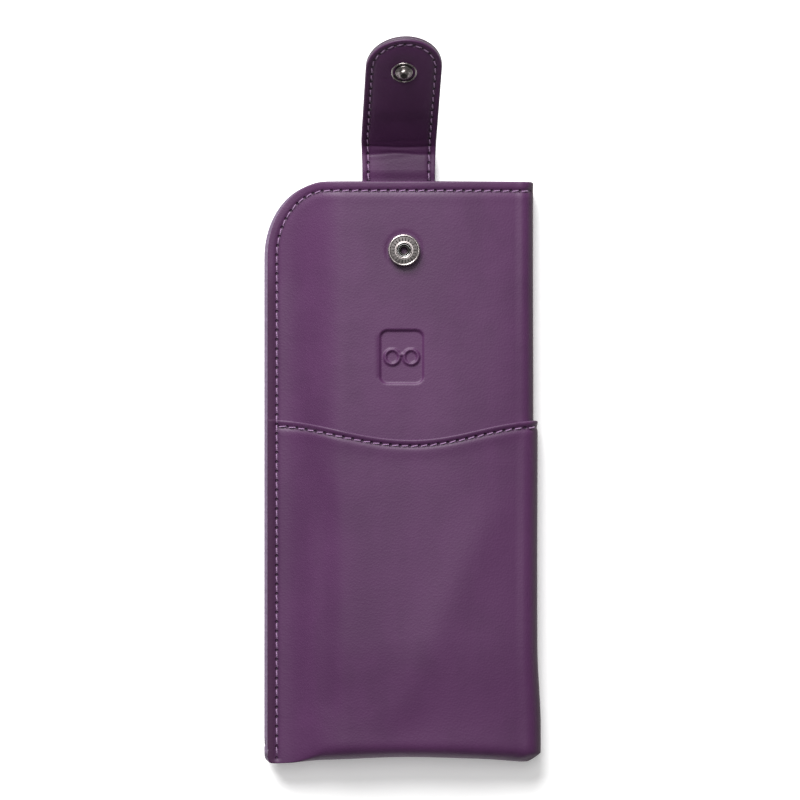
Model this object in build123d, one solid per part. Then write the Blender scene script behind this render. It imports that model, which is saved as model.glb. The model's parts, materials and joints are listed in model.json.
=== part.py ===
from build123d import *

import os
from math import atan, cos, radians, sin, sqrt, tan

# A soft leather glasses case: a pouch folded from one piece of leather, with a wrap-round slip pocket and
# a snap strap that folds over the mouth.
#
# The case lies on its back. X runs across it, from the stitched seam to the fold, Y runs towards the mouth
# and the strap, and Z points up out of its front. The origin is on the back of the pocket, midway along
# the case. Lengths are in millimetres.

# Thickness of each layer.
LEATHER = 1.2
FOAM = 1.2
LINING = 0.4
POCKET_GAP = 0.1
STRAP_OUTER = 1.2
STRAP_INNER = 1.0
STIFFENER = 0.5

# The case in plan.
SEAM_X = -40.8
FOLD_X = 40.8
MOUTH_Y = 87.8
BOTTOM_Y = -86.5
CORNER_RADIUS = 19.0
SEAM_WIDTH = 4.6
SEAM_TOP_Y = 55.0

# The case in section, above the underside of the shell's back.
SHELL_Z = POCKET_GAP + LEATHER
CASE_HEIGHT = 13.8
SEAM_HEIGHT = 5.4
FRONT_RISE = 20.0
FRONT_FLAT = 26.0
CROWN_FALL = 10.5
BACK_RISE = 16.0
NOSE_RADIUS = 4.6
NOSE_RISE = 20.0
SIDE_CLEARANCE = 0.2

# The slip pocket's scooped top edge.
SCOOP_LEFT_Y = 16.0
SCOOP_RIGHT_Y = 15.5
SCOOP_LOW = (4.0, 9.8)

# The stamped mark on the front.
MARK_CENTRE = (0.9, 34.8)
MARK_SIZE = (13.0, 16.0)
MARK_CORNER = 1.6
MARK_DEPTH = 0.35
LENS_RADIUS = 2.3
LENS_SPACING = 6.2
RELIEF_WIDTH = 0.7

# The snap.
SNAP_X = 1.6
SNAP_Y = 66.9
SOCKET_RADIUS = 4.85
SOCKET_HEIGHT = 2.2
SOCKET_HOLE = 2.0
SHEET = 0.35
STUD_FLANGE = 0.5
STUD_RADIUS = 3.5
STUD_HEIGHT = 2.0
POST_RADIUS = 0.8
EYELET_RADIUS = 1.3
WASHER_RADIUS = 6.0
WASHER = 0.6
CAP_RADIUS = 6.2
CAP_HEIGHT = 2.1
SNAP_SLACK = 0.1

# The strap: four creases, each turning the same share of a half turn when it is closed.
STRAP_WIDTH = 22.2
STRAP_ROOT = 13.0
STRAP_LEAN = 1.5
STRAP_TIP = 12.1
CREASES = 4
CREASE_GAP = 0.1
CREASE_CLOSED = 180.0 / CREASES
CREASE_REST = (0.0, CREASE_CLOSED / 2, CREASE_CLOSED / 2, 0.0)
HINGE_Y = MOUTH_Y + 0.8

# Stitching.
STITCH_PITCH = 2.85
STITCH_LENGTH = 2.1
STITCH_WIDTH = 0.5
STITCH_PROUD = 0.3
STITCH_LIFT = 0.02
SEAM_INSET = 3.3
HEM_INSET = 2.4
STRAP_INSET = 2.3

FAR = 130.0

# Heights that follow from the layers.
WALL = LEATHER + FOAM + LINING
FRONT_Z = SHELL_Z + CASE_HEIGHT
STRAP_Z = SHELL_Z + LEATHER + STRAP_OUTER
CLOSED_Z = FRONT_Z + SOCKET_HEIGHT + SNAP_SLACK + STUD_FLANGE + STRAP_INNER
CREASE_SPACING = (CLOSED_Z - STRAP_Z) * tan(radians(CREASE_CLOSED / 2))
CREASE_YS = [i * CREASE_SPACING for i in range(CREASES)]
STUD_Y = CREASE_YS[-1] + HINGE_Y - SNAP_Y
TIP_Y = STUD_Y + STRAP_TIP


# ---- outlines traced as straight runs and tangent arcs ----

def s_bend(length, rise):
    """Two equal arcs that shift a path sideways by rise, to the left where it is positive."""
    turn = 2 * atan(abs(rise) / length)
    radius = length / (2 * sin(turn))
    side = 1 if rise > 0 else -1
    return [("arc", radius, side * turn), ("arc", radius, -side * turn)]


def trace(start, heading, moves):
    """The corner points and arc mid points of a path, as (kind, points) for each move."""
    x, y = start
    traced = []
    for move in moves:
        if move[0] == "line":
            end = (x + move[1] * cos(heading), y + move[1] * sin(heading))
            traced.append(("line", [(x, y), end]))
        else:
            _, radius, turn = move
            side = 1 if turn > 0 else -1
            centre_x = x - side * radius * sin(heading)
            centre_y = y + side * radius * cos(heading)

            def at(angle):
                return (centre_x + side * radius * sin(angle), centre_y - side * radius * cos(angle))

            end = at(heading + turn)
            traced.append(("arc", [(x, y), at(heading + turn / 2), end]))
            heading += turn
        x, y = end
    return traced


def prism(traced, place, direction):
    """A closed solid: the traced path, closed by a straight edge, carried along direction."""
    edges = []
    for kind, points in traced:
        spots = [place(*p) for p in points]
        edges.append(Line(*spots) if kind == "line" else ThreePointArc(*spots))
    edges.append(Line(place(*traced[-1][1][-1]), place(*traced[0][1][0])))
    return extrude(make_face(edges), amount=2 * FAR, dir=direction)


def across(depth, seam_half, seam_width=SEAM_WIDTH):
    """The case's section at a depth below its outer surface, carried along Y.

    seam_half is half the thickness that it encloses along the stitched seam."""
    height = CASE_HEIGHT
    fall = radians(CROWN_FALL)
    rise_end = SEAM_X + SEAM_WIDTH + FRONT_RISE
    flat_end = rise_end + FRONT_FLAT
    slope, reach = tan(fall / 2), 1 - sin(fall)
    depth_of_fold = 1 + cos(fall)
    run = (FOLD_X - flat_end - reach * height / depth_of_fold) / (1 - reach * slope / depth_of_fold)
    fold_radius = (height - run * slope) / depth_of_fold
    fold_x = flat_end + run - fold_radius * sin(fall)
    back_rise_x = SEAM_X + SEAM_WIDTH + BACK_RISE
    start_x = SEAM_X + SEAM_WIDTH - seam_width
    moves = []
    if seam_width:
        moves.append(("line", seam_width))
    moves += s_bend(FRONT_RISE, height - depth - SEAM_HEIGHT - seam_half)
    moves.append(("line", FRONT_FLAT))
    moves.append(("arc", run / sin(fall) - depth, -fall))
    moves.append(("arc", fold_radius - depth, fall - radians(180)))
    moves.append(("line", fold_x - back_rise_x))
    moves += s_bend(BACK_RISE, depth - SEAM_HEIGHT + seam_half)
    if seam_width:
        moves.append(("line", seam_width))
    traced = trace((start_x, SHELL_Z + SEAM_HEIGHT + seam_half), 0.0, moves)
    return prism(traced, lambda x, z: Vector(x, -FAR, z), (0, 1, 0))


def along(depth):
    """The case's outline seen from the side at a depth below its outer surface, carried along X."""
    top = CASE_HEIGHT + SIDE_CLEARANCE - depth
    nose_y = BOTTOM_Y + NOSE_RADIUS
    moves = [("line", FAR - nose_y - NOSE_RISE)]
    moves += s_bend(NOSE_RISE, top + depth - 2 * NOSE_RADIUS)
    moves.append(("arc", NOSE_RADIUS - depth, radians(180)))
    moves.append(("line", FAR - nose_y))
    traced = trace((FAR, SHELL_Z + top), radians(180), moves)
    return prism(traced, lambda y, z: Vector(-FAR, y, z), (1, 0, 0))


def envelope(depth, seam_half, seam_width=SEAM_WIDTH):
    """Everything inside the surface at that depth, open-ended towards the mouth."""
    return across(depth, seam_half, seam_width) & along(depth)


def plan(inset, left=SEAM_X):
    """The case's plan, pulled in from the seam, the mouth and the rounded corner, carried along Z."""
    left, top = left + inset, MOUTH_Y - inset
    radius = CORNER_RADIUS - inset
    corner = radius * (1 - sqrt(0.5))
    edges = [
        Line((left, -FAR, 0), (left, top - radius, 0)),
        ThreePointArc((left, top - radius, 0), (left + corner, top - corner, 0), (left + radius, top, 0)),
        Polyline((left + radius, top, 0), (FAR, top, 0), (FAR, -FAR, 0), (left, -FAR, 0)),
    ]
    return extrude(make_face(edges), amount=FAR)


def block(low, high):
    """A box between two corners."""
    size = [b - a for a, b in zip(low, high)]
    return Pos(*low) * Box(*size, align=(Align.MIN, Align.MIN, Align.MIN))


def disc(radius, low, high, x=SNAP_X, y=SNAP_Y):
    """An upright cylinder between two heights."""
    return Pos(x, y, low) * Cylinder(radius, high - low, align=(Align.CENTER, Align.CENTER, Align.MIN))


def turned(points, x, y, z):
    """A solid of revolution about an upright axis, from (radius, height) points."""
    profile = Polyline(*[(r, 0, h) for r, h in points], close=True)
    return Pos(x, y, z) * revolve(make_face(profile), Axis.Z)


# ---- the pouch ----

def stamped_mark():
    """The shallow stamped panel on the front, less the raised pictogram of a pair of spectacles."""
    cx, cy = MARK_CENTRE
    floor_z = FRONT_Z - MARK_DEPTH
    panel = extrude(Pos(cx, cy, floor_z) * RectangleRounded(*MARK_SIZE, MARK_CORNER), amount=FAR - floor_z)
    relief = Part()
    for side in (-1, 1):
        ring = Circle(LENS_RADIUS) - Circle(LENS_RADIUS - RELIEF_WIDTH)
        relief += extrude(Pos(cx + side * LENS_SPACING / 2, cy, floor_z) * ring, amount=MARK_DEPTH)
    bridge = LENS_SPACING - 2 * LENS_RADIUS + RELIEF_WIDTH
    relief += extrude(Pos(cx, cy + RELIEF_WIDTH, floor_z) * Rectangle(bridge, RELIEF_WIDTH), amount=MARK_DEPTH)
    return panel - relief


def make_shell():
    """The outer leather: front, fold and back in one piece, with the bottom closed."""
    shell = envelope(0, LEATHER + LINING) - envelope(LEATHER, LINING)
    return (shell & plan(0)) - stamped_mark() - disc(EYELET_RADIUS + 0.1, FRONT_Z - WALL, FRONT_Z + 1)


def make_lining():
    """The fabric lining, with its two lips apart above the top of the seam."""
    lining = envelope(LEATHER + FOAM, LINING) - envelope(WALL, 0.05, 0)
    lips = block((SEAM_X - 1, SEAM_TOP_Y, SHELL_Z + SEAM_HEIGHT - 0.1),
                 (SEAM_X + SEAM_WIDTH + 1, FAR, SHELL_Z + SEAM_HEIGHT + 0.1))
    return (lining & plan(0.5)) - lips


def make_foam():
    """The foam between leather and lining, notched for the strap's root and holed for the snap."""
    foam = envelope(LEATHER, LINING) - envelope(LEATHER + FOAM, LINING)
    foam &= plan(SEAM_WIDTH + 6)
    notch = block((-STRAP_WIDTH / 2 - 0.3, MOUTH_Y - STRAP_ROOT - 0.3, SHELL_Z),
                  (STRAP_WIDTH / 2 + 0.3, FAR, SHELL_Z + WALL))
    return foam - notch - disc(WASHER_RADIUS + 0.3, FRONT_Z - WALL, FRONT_Z)


def scoop_prism(drop=0.0):
    """All that lies below the pocket's scooped edge, lowered by drop."""
    left, right = SEAM_X - 1, FOLD_X + 4
    low_x, low_y = SCOOP_LOW
    edges = [
        ThreePointArc((left, SCOOP_LEFT_Y - drop, 0), (low_x, low_y - drop, 0), (right, SCOOP_RIGHT_Y - drop, 0)),
        Polyline((right, SCOOP_RIGHT_Y - drop, 0), (right, -FAR, 0), (left, -FAR, 0),
                 (left, SCOOP_LEFT_Y - drop, 0)),
    ]
    return extrude(make_face(edges), amount=FAR)


def make_pocket():
    """The slip pocket: one piece of leather that wraps the lower half of the case, front and back."""
    seam_half = LEATHER + LINING
    wrap = envelope(-SHELL_Z, seam_half + SHELL_Z) - envelope(-POCKET_GAP, seam_half + POCKET_GAP)
    return wrap & plan(0) & scoop_prism()


# ---- stitching ----

def stitches(path, inset_ends=0.0):
    """Short upright prisms at even spacing along a path in plan."""
    usable = path.length - 2 * inset_ends
    count = max(1, int(usable / STITCH_PITCH))
    made = []
    for i in range(count):
        share = (inset_ends + (i + 0.5) * usable / count) / path.length
        spot, way = path @ share, path % share
        angle = Vector(1, 0, 0).get_signed_angle(way, Vector(0, 0, 1))
        made.append(Pos(spot.X, spot.Y, 0) * Rot(0, 0, angle) * Rectangle(STITCH_LENGTH, STITCH_WIDTH))
    return [extrude(s, amount=FAR) for s in made]


def skin(depth, seam_half):
    """A thin layer that lies on the outside of the surface at that depth."""
    outside = envelope(depth - STITCH_PROUD, seam_half + STITCH_PROUD)
    return outside - envelope(depth - STITCH_LIFT, seam_half + STITCH_LIFT)


def above(solid, height):
    return solid & block((-FAR, -FAR, height), (FAR, FAR, FAR))


def below(solid, height):
    return solid & block((-FAR, -FAR, -1), (FAR, FAR, height))


def sewn(layer, prisms):
    """The parts of a thin layer that lie within the stitch prisms, as separate solids."""
    found = []
    for p in prisms:
        found += (layer & p).solids()
    return Compound(children=found)


def make_threads():
    """The side seam, mouth hem and pocket hem, each a row of stitches on the surface that it holds."""
    seam_half = LEATHER + LINING
    mid_z = SHELL_Z + SEAM_HEIGHT
    shell_skin = skin(0, seam_half)
    pocket_skin = skin(-SHELL_Z, seam_half + SHELL_Z)
    seam_x = SEAM_X + SEAM_INSET
    lower = stitches(Line((seam_x, BOTTOM_Y + 4, 0), (seam_x, SCOOP_LEFT_Y - 1.5, 0)))
    upper = stitches(Line((seam_x, SCOOP_LEFT_Y + 0.5, 0), (seam_x, SEAM_TOP_Y, 0)))
    side = Compound(children=[sewn(pocket_skin, lower), sewn(shell_skin, upper)])

    radius = CORNER_RADIUS - SEAM_INSET
    top, bend_y = MOUTH_Y - HEM_INSET, MOUTH_Y - CORNER_RADIUS
    corner = radius * (1 - sqrt(0.5))
    run = stitches(Line((seam_x, SEAM_TOP_Y + 1, 0), (seam_x, bend_y, 0)))
    run += stitches(ThreePointArc((seam_x, bend_y, 0), (seam_x + corner, top - corner, 0),
                                  (seam_x + radius, top, 0)))
    run += stitches(Line((seam_x + radius, top, 0), (FOLD_X - 1.5, top, 0)))
    hem = Compound(children=[sewn(above(shell_skin, mid_z), run), sewn(below(shell_skin, mid_z), run)])

    low_x, low_y = SCOOP_LOW
    drop = 2.0
    scoop = ThreePointArc((seam_x + 1.5, SCOOP_LEFT_Y - drop - 1, 0), (low_x, low_y - drop, 0),
                          (FOLD_X + 0.2, SCOOP_RIGHT_Y - drop - 0.3, 0))
    pocket = sewn(above(pocket_skin, mid_z), stitches(scoop))

    inset = STRAP_WIDTH / 2 - STRAP_INSET
    anchor_run = stitches(Line((-inset, MOUTH_Y - STRAP_ROOT + 1.5, 0), (inset, MOUTH_Y - STRAP_ROOT + 1.5, 0)))
    for side_x in (-inset, inset):
        anchor_run += stitches(Line((side_x, MOUTH_Y - STRAP_ROOT + 2.5, 0), (side_x, top - 1.5, 0)))
    anchor = sewn(below(shell_skin, mid_z), anchor_run)
    return {"side_seam_thread": side, "mouth_hem_thread": hem, "pocket_hem_thread": pocket,
            "strap_anchor_thread": anchor}


# ---- the snap ----

def make_socket():
    """The socket's turned cup: a ring chamber, open at the middle, that holds the spring."""
    r, h, hole = SOCKET_RADIUS, SOCKET_HEIGHT, SOCKET_HOLE
    inner = EYELET_RADIUS + 0.05
    band, under = h - 0.2, h - 0.2 - SHEET
    points = [
        (inner, 0), (r - 0.4, 0), (r, 0.4), (r, h - 0.3), (r - 0.1, h - 0.1), (r - 0.3, h), (r - 0.6, h - 0.05),
        (r - 0.75, band), (hole + 0.6, band), (hole + 0.45, h - 0.05), (hole + 0.2, h), (hole, h - 0.3),
        (hole, h - 0.6), (hole + SHEET, h - 0.6), (hole + SHEET, under), (r - SHEET, under), (r - SHEET, SHEET),
        (inner, SHEET),
    ]
    return turned(points, SNAP_X, SNAP_Y, FRONT_Z)


def make_spring():
    """The round wire spring in the socket, a ring with one gap."""
    wire, ring, gap = 0.15, 1.8, 30.0
    path = CenterArc((0, 0, 0), ring, gap / 2, 360 - gap)
    section = Plane(origin=path @ 0, z_dir=path % 0) * Circle(wire)
    height = SOCKET_HEIGHT - 0.2 - SHEET - wire - 0.05
    return Pos(SNAP_X, SNAP_Y, FRONT_Z + height) * sweep(section, path)


def make_eyelet():
    """The eyelet behind the front: a flange under the washer and a tube that is flared in the socket."""
    outer, inner = EYELET_RADIUS, EYELET_RADIUS - 0.4
    base = -LEATHER - WASHER - 0.02
    flare = SHEET + 0.02
    points = [
        (inner, base - SHEET), (WASHER_RADIUS - 1.6, base - SHEET), (WASHER_RADIUS - 1.6, base), (outer, base),
        (outer, flare), (outer + 0.35, flare), (outer + 0.2, flare + 0.2), (inner, flare + 0.2),
    ]
    return turned(points, SNAP_X, SNAP_Y, FRONT_Z)


def make_washer():
    """The backing washer that keeps the eyelet from pulling through the front."""
    top = FRONT_Z - LEATHER - 0.01
    return disc(WASHER_RADIUS, top - WASHER, top) - disc(EYELET_RADIUS + 0.05, top - 2, top + 1)


def make_stud():
    """The stud on the strap's inner face."""
    bore = POST_RADIUS + 0.05
    points = [
        (bore, 0), (STUD_RADIUS, 0), (STUD_RADIUS, 0.3), (STUD_RADIUS - 0.2, STUD_FLANGE),
        (STUD_RADIUS - 0.5, STUD_FLANGE), (STUD_RADIUS - 0.7, 0.3), (1.7, 0.3), (1.25, STUD_FLANGE), (1.2, 1.0),
        (1.45, 1.15), (1.55, 1.4), (1.45, 1.7), (1.2, 1.9), (bore, STUD_HEIGHT - 0.1),
    ]
    return turned(points, SNAP_X, STUD_Y, STRAP_INNER)


def make_post():
    """The cap's post: a disc under the dome and a pin through the strap, closed over in the stud."""
    base = -STRAP_OUTER
    top = STRAP_INNER + STUD_HEIGHT - 0.1
    points = [
        (0, base - 0.5), (CAP_RADIUS - 1.4, base - 0.5), (CAP_RADIUS - 1.4, base - 0.02),
        (POST_RADIUS, base - 0.02), (POST_RADIUS, top + 0.01), (POST_RADIUS + 0.2, top + 0.01),
        (POST_RADIUS, top + 0.1), (0, top + 0.1),
    ]
    return turned(points, SNAP_X, STUD_Y, 0)


def dome(radius, height, z):
    """A spherical cap that hangs below z."""
    ball = (radius ** 2 + height ** 2) / (2 * height)
    return (Pos(SNAP_X, STUD_Y, z - height + ball) * Sphere(ball)) & disc(radius + 1, z - height - 1, z,
                                                                        SNAP_X, STUD_Y)


def make_cap():
    """The domed cap on the strap's outer face, a shell over the post's disc."""
    base = -STRAP_OUTER - 0.01
    cap = dome(CAP_RADIUS, CAP_HEIGHT, base) - dome(CAP_RADIUS - SHEET, CAP_HEIGHT - SHEET, base)
    return cap


# ---- the strap, laid out flat with its middle at z 0 and its first crease at y 0 ----

def lean(y):
    """How far the strap's middle has moved across at y: it is sewn a little askew past its second crease."""
    start = CREASE_YS[2]
    return STRAP_LEAN * max(0.0, y - start) / (STUD_Y - start)


def strap_outline(inset):
    """The strap's plan with its rounded tip, pulled in by inset."""
    half = STRAP_WIDTH / 2 - inset
    root, kink, shoulder = -STRAP_ROOT - (HINGE_Y - MOUTH_Y), CREASE_YS[2], TIP_Y - STRAP_WIDTH / 2
    shift, tip_shift = lean(shoulder), lean(TIP_Y)
    edges = [
        Polyline((-half, root, 0), (-half, kink, 0), (shift - half, shoulder, 0)),
        ThreePointArc((shift - half, shoulder, 0), (tip_shift, shoulder + half, 0), (shift + half, shoulder, 0)),
        Polyline((shift + half, shoulder, 0), (half, kink, 0), (half, root, 0), (-half, root, 0)),
    ]
    return make_face(edges)


def strap_stretch(index):
    """Where a stretch of the strap starts and ends; stretch 0 is the sewn root and the last is the flap."""
    low = -FAR if index == 0 else CREASE_YS[index - 1] + CREASE_GAP / 2
    high = FAR if index == CREASES else CREASE_YS[index] - CREASE_GAP / 2
    return low, high


def placed(solid, index):
    """A stretch of the flat strap, moved to where it lies at rest."""
    spot = Pos(0, HINGE_Y, STRAP_Z)
    for y, angle in list(zip(CREASE_YS, CREASE_REST))[:index]:
        spot = spot * Pos(0, y, 0) * Rot(angle, 0, 0) * Pos(0, -y, 0)
    return spot * solid


def between(index, low_z, high_z):
    """The room for one layer in one stretch: its ends slope above the middle, so that a crease can close."""
    low, high = strap_stretch(index)
    slope = tan(radians(CREASE_CLOSED / 2)) if low_z >= 0 else 0.0
    in_low, in_high = slope * low_z, slope * high_z
    corners = [(low + in_low, low_z), (high - in_low, low_z), (high - in_high, high_z), (low + in_high, high_z)]
    face = make_face(Polyline(*[(-FAR, y, z) for y, z in corners], close=True))
    return extrude(face, amount=2 * FAR, dir=(1, 0, 0))


def snap_hole():
    return disc(POST_RADIUS + 0.05, -5, 5, SNAP_X, STUD_Y)


def make_strap():
    """The strap's layers, cut at its creases. Only the outer layer runs on into the back wall."""
    nodes = {}
    outline = strap_outline(0)
    outer = Pos(0, 0, -STRAP_OUTER) * extrude(outline, amount=STRAP_OUTER)
    inner = extrude(outline, amount=STRAP_INNER)
    bed = strap_outline(STRAP_INSET + 0.8) & Pos(0, STUD_Y, 0) * Rectangle(STRAP_WIDTH, 2 * STRAP_TIP + 4)
    stiffener = Pos(0, 0, -STIFFENER) * extrude(bed, amount=STIFFENER)
    nodes["strap_stiffener"] = placed(stiffener - snap_hole(), CREASES)
    names = ["root"] + [f"bend_{i}" for i in range(1, CREASES)] + ["flap"]
    for i, name in enumerate(names):
        piece = outer & between(i, -STRAP_OUTER, 0)
        if name == "flap":
            piece = piece - stiffener - snap_hole()
        nodes[f"strap_outer_{name}"] = placed(piece, i)
        if i:
            piece = inner & between(i, 0, STRAP_INNER)
            if name == "flap":
                piece -= snap_hole()
            nodes[f"strap_inner_{name}"] = placed(piece, i)
            nodes[f"strap_thread_{name}"] = placed(strap_stitches(i), i)
    return nodes


def strap_stitches(index):
    """The stitches round one stretch of the strap, on its inner face."""
    half = STRAP_WIDTH / 2 - STRAP_INSET
    low, high = strap_stretch(index)
    room = STRAP_INNER * tan(radians(CREASE_CLOSED / 2)) + 0.1
    if index < CREASES:
        rows = [Line((s * half + lean(low), low + room, 0), (s * half + lean(high), high - room, 0))
                for s in (-1, 1)]
    else:
        shoulder = TIP_Y - STRAP_WIDTH / 2
        shift, start = lean(shoulder), low + room
        rows = [Line((s * half + lean(start), start, 0), (s * half + shift, shoulder, 0)) for s in (-1, 1)]
        rows.append(ThreePointArc((shift - half, shoulder, 0), (lean(TIP_Y), shoulder + half, 0),
                                  (shift + half, shoulder, 0)))
    layer = block((-FAR, -FAR, STRAP_INNER + STITCH_LIFT), (FAR, FAR, STRAP_INNER + STITCH_PROUD))
    return sewn(layer, [p for row in rows for p in stitches(row)])


def main():
    nodes = {
        "shell_leather": make_shell(),
        "shell_foam": make_foam(),
        "shell_lining": make_lining(),
        "pocket_wrap": make_pocket(),
        "snap_socket": make_socket(),
        "snap_socket_spring": make_spring(),
        "snap_socket_eyelet": make_eyelet(),
        "snap_backing_washer": make_washer(),
        "snap_stud": placed(make_stud(), CREASES),
        "snap_cap_post": placed(make_post(), CREASES),
        "snap_cap": placed(make_cap(), CREASES),
    }
    nodes.update(make_threads())
    nodes.update(make_strap())
    os.makedirs("parts", exist_ok=True)
    for name, solid in nodes.items():
        export_step(solid, f"parts/{name}.step")


main()
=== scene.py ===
import json
from math import cos, pi, radians, sin, sqrt, tan

import bmesh
import bpy
import numpy as np
from bpy.props import FloatProperty, FloatVectorProperty, IntProperty, PointerProperty
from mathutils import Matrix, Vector
from mathutils.kdtree import KDTree


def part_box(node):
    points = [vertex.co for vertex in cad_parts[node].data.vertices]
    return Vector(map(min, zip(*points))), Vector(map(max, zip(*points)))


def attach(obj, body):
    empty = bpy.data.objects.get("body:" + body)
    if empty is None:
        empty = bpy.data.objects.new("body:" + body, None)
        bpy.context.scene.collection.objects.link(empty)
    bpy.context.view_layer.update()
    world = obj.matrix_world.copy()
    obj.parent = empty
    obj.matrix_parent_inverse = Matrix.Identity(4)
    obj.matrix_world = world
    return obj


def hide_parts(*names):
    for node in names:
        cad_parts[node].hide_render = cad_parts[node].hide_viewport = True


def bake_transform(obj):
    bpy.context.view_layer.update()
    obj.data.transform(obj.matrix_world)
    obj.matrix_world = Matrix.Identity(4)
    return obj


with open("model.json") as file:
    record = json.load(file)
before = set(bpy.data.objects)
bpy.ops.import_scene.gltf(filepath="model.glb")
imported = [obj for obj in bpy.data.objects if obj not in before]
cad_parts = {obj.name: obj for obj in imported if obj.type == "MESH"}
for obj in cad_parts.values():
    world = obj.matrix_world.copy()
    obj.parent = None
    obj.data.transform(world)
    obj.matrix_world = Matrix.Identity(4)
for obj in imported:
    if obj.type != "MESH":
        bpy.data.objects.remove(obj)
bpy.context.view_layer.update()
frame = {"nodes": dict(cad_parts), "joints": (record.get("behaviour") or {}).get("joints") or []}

bl_info = {
    "name": "Soft Glasses Case",
    "version": (1, 0, 0),
    "blender": (4, 5, 0),
    "location": "View3D > Sidebar > Glasses Case",
    "description": "Builds a soft leather glasses case with a slip pocket and a snap strap",
    "category": "Object",
}

# Lengths are in millimetres up to where a mesh is made.
MM = 0.001


# ---- measures read from the frame ----

def box_mm(node):
    low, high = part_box(node)
    return np.array(low) / MM, np.array(high) / MM


(SEAM_X, BOTTOM_Y, SHELL_Z), (FOLD_X, MOUTH_Y, FRONT_Z) = box_mm("shell_leather")
SEAM_Z = sum(corner[2] for corner in box_mm("side_seam_thread")) / 2
HEIGHT = FRONT_Z - SHELL_Z
SOCKET_LOW, SOCKET_HIGH = box_mm("snap_socket")
SNAP_X, SNAP_Y = (SOCKET_LOW + SOCKET_HIGH)[:2] / 2
ROOT_LOW, ROOT_HIGH = box_mm("strap_outer_root")
STRAP_HALF = (ROOT_HIGH[0] - ROOT_LOW[0]) / 2
HINGES = [np.array(joint["pos_m"][1:]) / MM for joint in frame["joints"]]
SEGMENT = float(np.linalg.norm(HINGES[1] - HINGES[0]))
STRAP_BODIES = ["case"] + [joint["child"] for joint in frame["joints"]]

# The pouch in plan: the front is cut a little narrower than the back along the seam.
FRONT_EDGE = SEAM_X + 1.0
BACK_EDGE = SEAM_X
CORNER = (18.0, 22.6)
COLUMN_WARP = -8.0
CHAMFER = (4.4, 2.7)

# The pouch in section.
SEAM_HALF = 1.6
SEAM_WIDTH = 4.6
FRONT_RISE = 20.0
FRONT_FLAT = 26.0
CROWN_FALL = radians(10.5)
BACK_RISE = 16.0
BACK_FOLDS = 0.4
FOLD_SQUARE = 0.10
NOSE_RADIUS = 4.6
NOSE_HALF = 6.1
NOSE_SQUARE = 0.72
NOSE_RISE = 32.0
NOSE_Y = BOTTOM_Y + NOSE_RADIUS
SEAM_END_Y = 55.0

RISE_START = SEAM_X + SEAM_WIDTH
RISE_END = RISE_START + FRONT_RISE
FLAT_END = RISE_END + FRONT_FLAT

# The stitch lines.
SIDE_INSET = 2.9
TOP_INSET = 2.9
SCOOP_INSET = 2.0
STRAP_INSET = 1.9
UNSTITCHED = 9.0
THREAD_DIP = 0.34
UNEVENNESS = 0.06

# The slip pocket's scooped edge.
SCOOP = {"low": 9.9, "low_x": 4.0, "left_rise": 6.1, "right_rise": 5.7, "left_run": 45.0, "right_run": 39.0}
POCKET_GAP = 0.1
POCKET_LEVEL_Y = -10.0
POCKET_FLARE = 0.35

# The stamped mark on the front.
MARK = {"x": 0.9, "y": 34.8, "width": 13.0, "height": 16.0, "corner": 2.2, "depth": 0.72, "soft": 0.3}
LENS_RADIUS = 2.15
LENS_SPACING = 5.7
RELIEF = 0.4


def fold_shape():
    """The fold's radius and the x of its centre, where it meets the falling front and the flat back."""
    slope, reach = tan(CROWN_FALL / 2), 1 - sin(CROWN_FALL)
    wrap = 1 + cos(CROWN_FALL)
    run = (FOLD_X - FLAT_END - reach * HEIGHT / wrap) / (1 - reach * slope / wrap)
    radius = (HEIGHT - run * slope) / wrap
    return radius, FLAT_END + run - radius * sin(CROWN_FALL), run


FOLD_RADIUS, FOLD_CENTRE, CROWN_RUN = fold_shape()
CROWN_RADIUS = CROWN_RUN / sin(CROWN_FALL)


# ---- settings ----

def colour_property(name, what, default):
    return FloatVectorProperty(name=name, description=f"Colour of {what}", default=default, subtype="COLOR",
                               size=3)


class CaseSettings(bpy.types.PropertyGroup):
    """Sizes and colours of the glasses case."""

    leather: FloatProperty(name="Leather", description="Thickness of the outer leather",
                           default=0.0012, unit="LENGTH")
    foam: FloatProperty(name="Foam", description="Thickness of the foam interlining",
                        default=0.0012, unit="LENGTH")
    lining: FloatProperty(name="Lining", description="Thickness of the lining",
                          default=0.0004, unit="LENGTH")
    pitch: FloatProperty(name="Stitch pitch", description="Distance from one stitch to the next",
                         default=0.00285, unit="LENGTH")
    stitch: FloatProperty(name="Stitch length", description="Length of the thread that shows in one stitch",
                          default=0.00205, unit="LENGTH")
    thread: FloatProperty(name="Thread", description="Width of the sewing thread",
                          default=0.00042, unit="LENGTH")
    slant: FloatProperty(name="Slant", description="Angle of each stitch to its row",
                         default=radians(8), subtype="ANGLE")
    seed: IntProperty(name="Seed", description="Seed of the small unevenness of the stitches", default=7)
    leather_colour: colour_property("Leather colour", "the leather's raised grain", (0.066, 0.0150, 0.068))
    leather_shade: colour_property("Leather shade", "the leather where it is darker", (0.053, 0.0108, 0.055))
    edge_colour: colour_property("Cut edge", "the leather's cut edges", (0.20, 0.145, 0.22))
    thread_colour: colour_property("Thread colour", "the sewing thread", (0.30, 0.165, 0.32))
    paint_colour: colour_property("Painted edge", "the strap's painted edges", (0.030, 0.012, 0.026))
    # Painted highlight: a brown tint laid along the fold where light catches it.
    fold_highlight_colour: colour_property("Highlit fold", "the leather where it is rubbed", (0.115, 0.045, 0.042))
    lining_colour: colour_property("Lining colour", "the woven lining", (0.035, 0.022, 0.038))
    metal_colour: colour_property("Snap colour", "the antique nickel snap", (0.46, 0.415, 0.41))


def settings():
    return bpy.context.scene.glasses_case


def in_mm(length):
    return length / MM


# ---- node helpers ----

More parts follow.
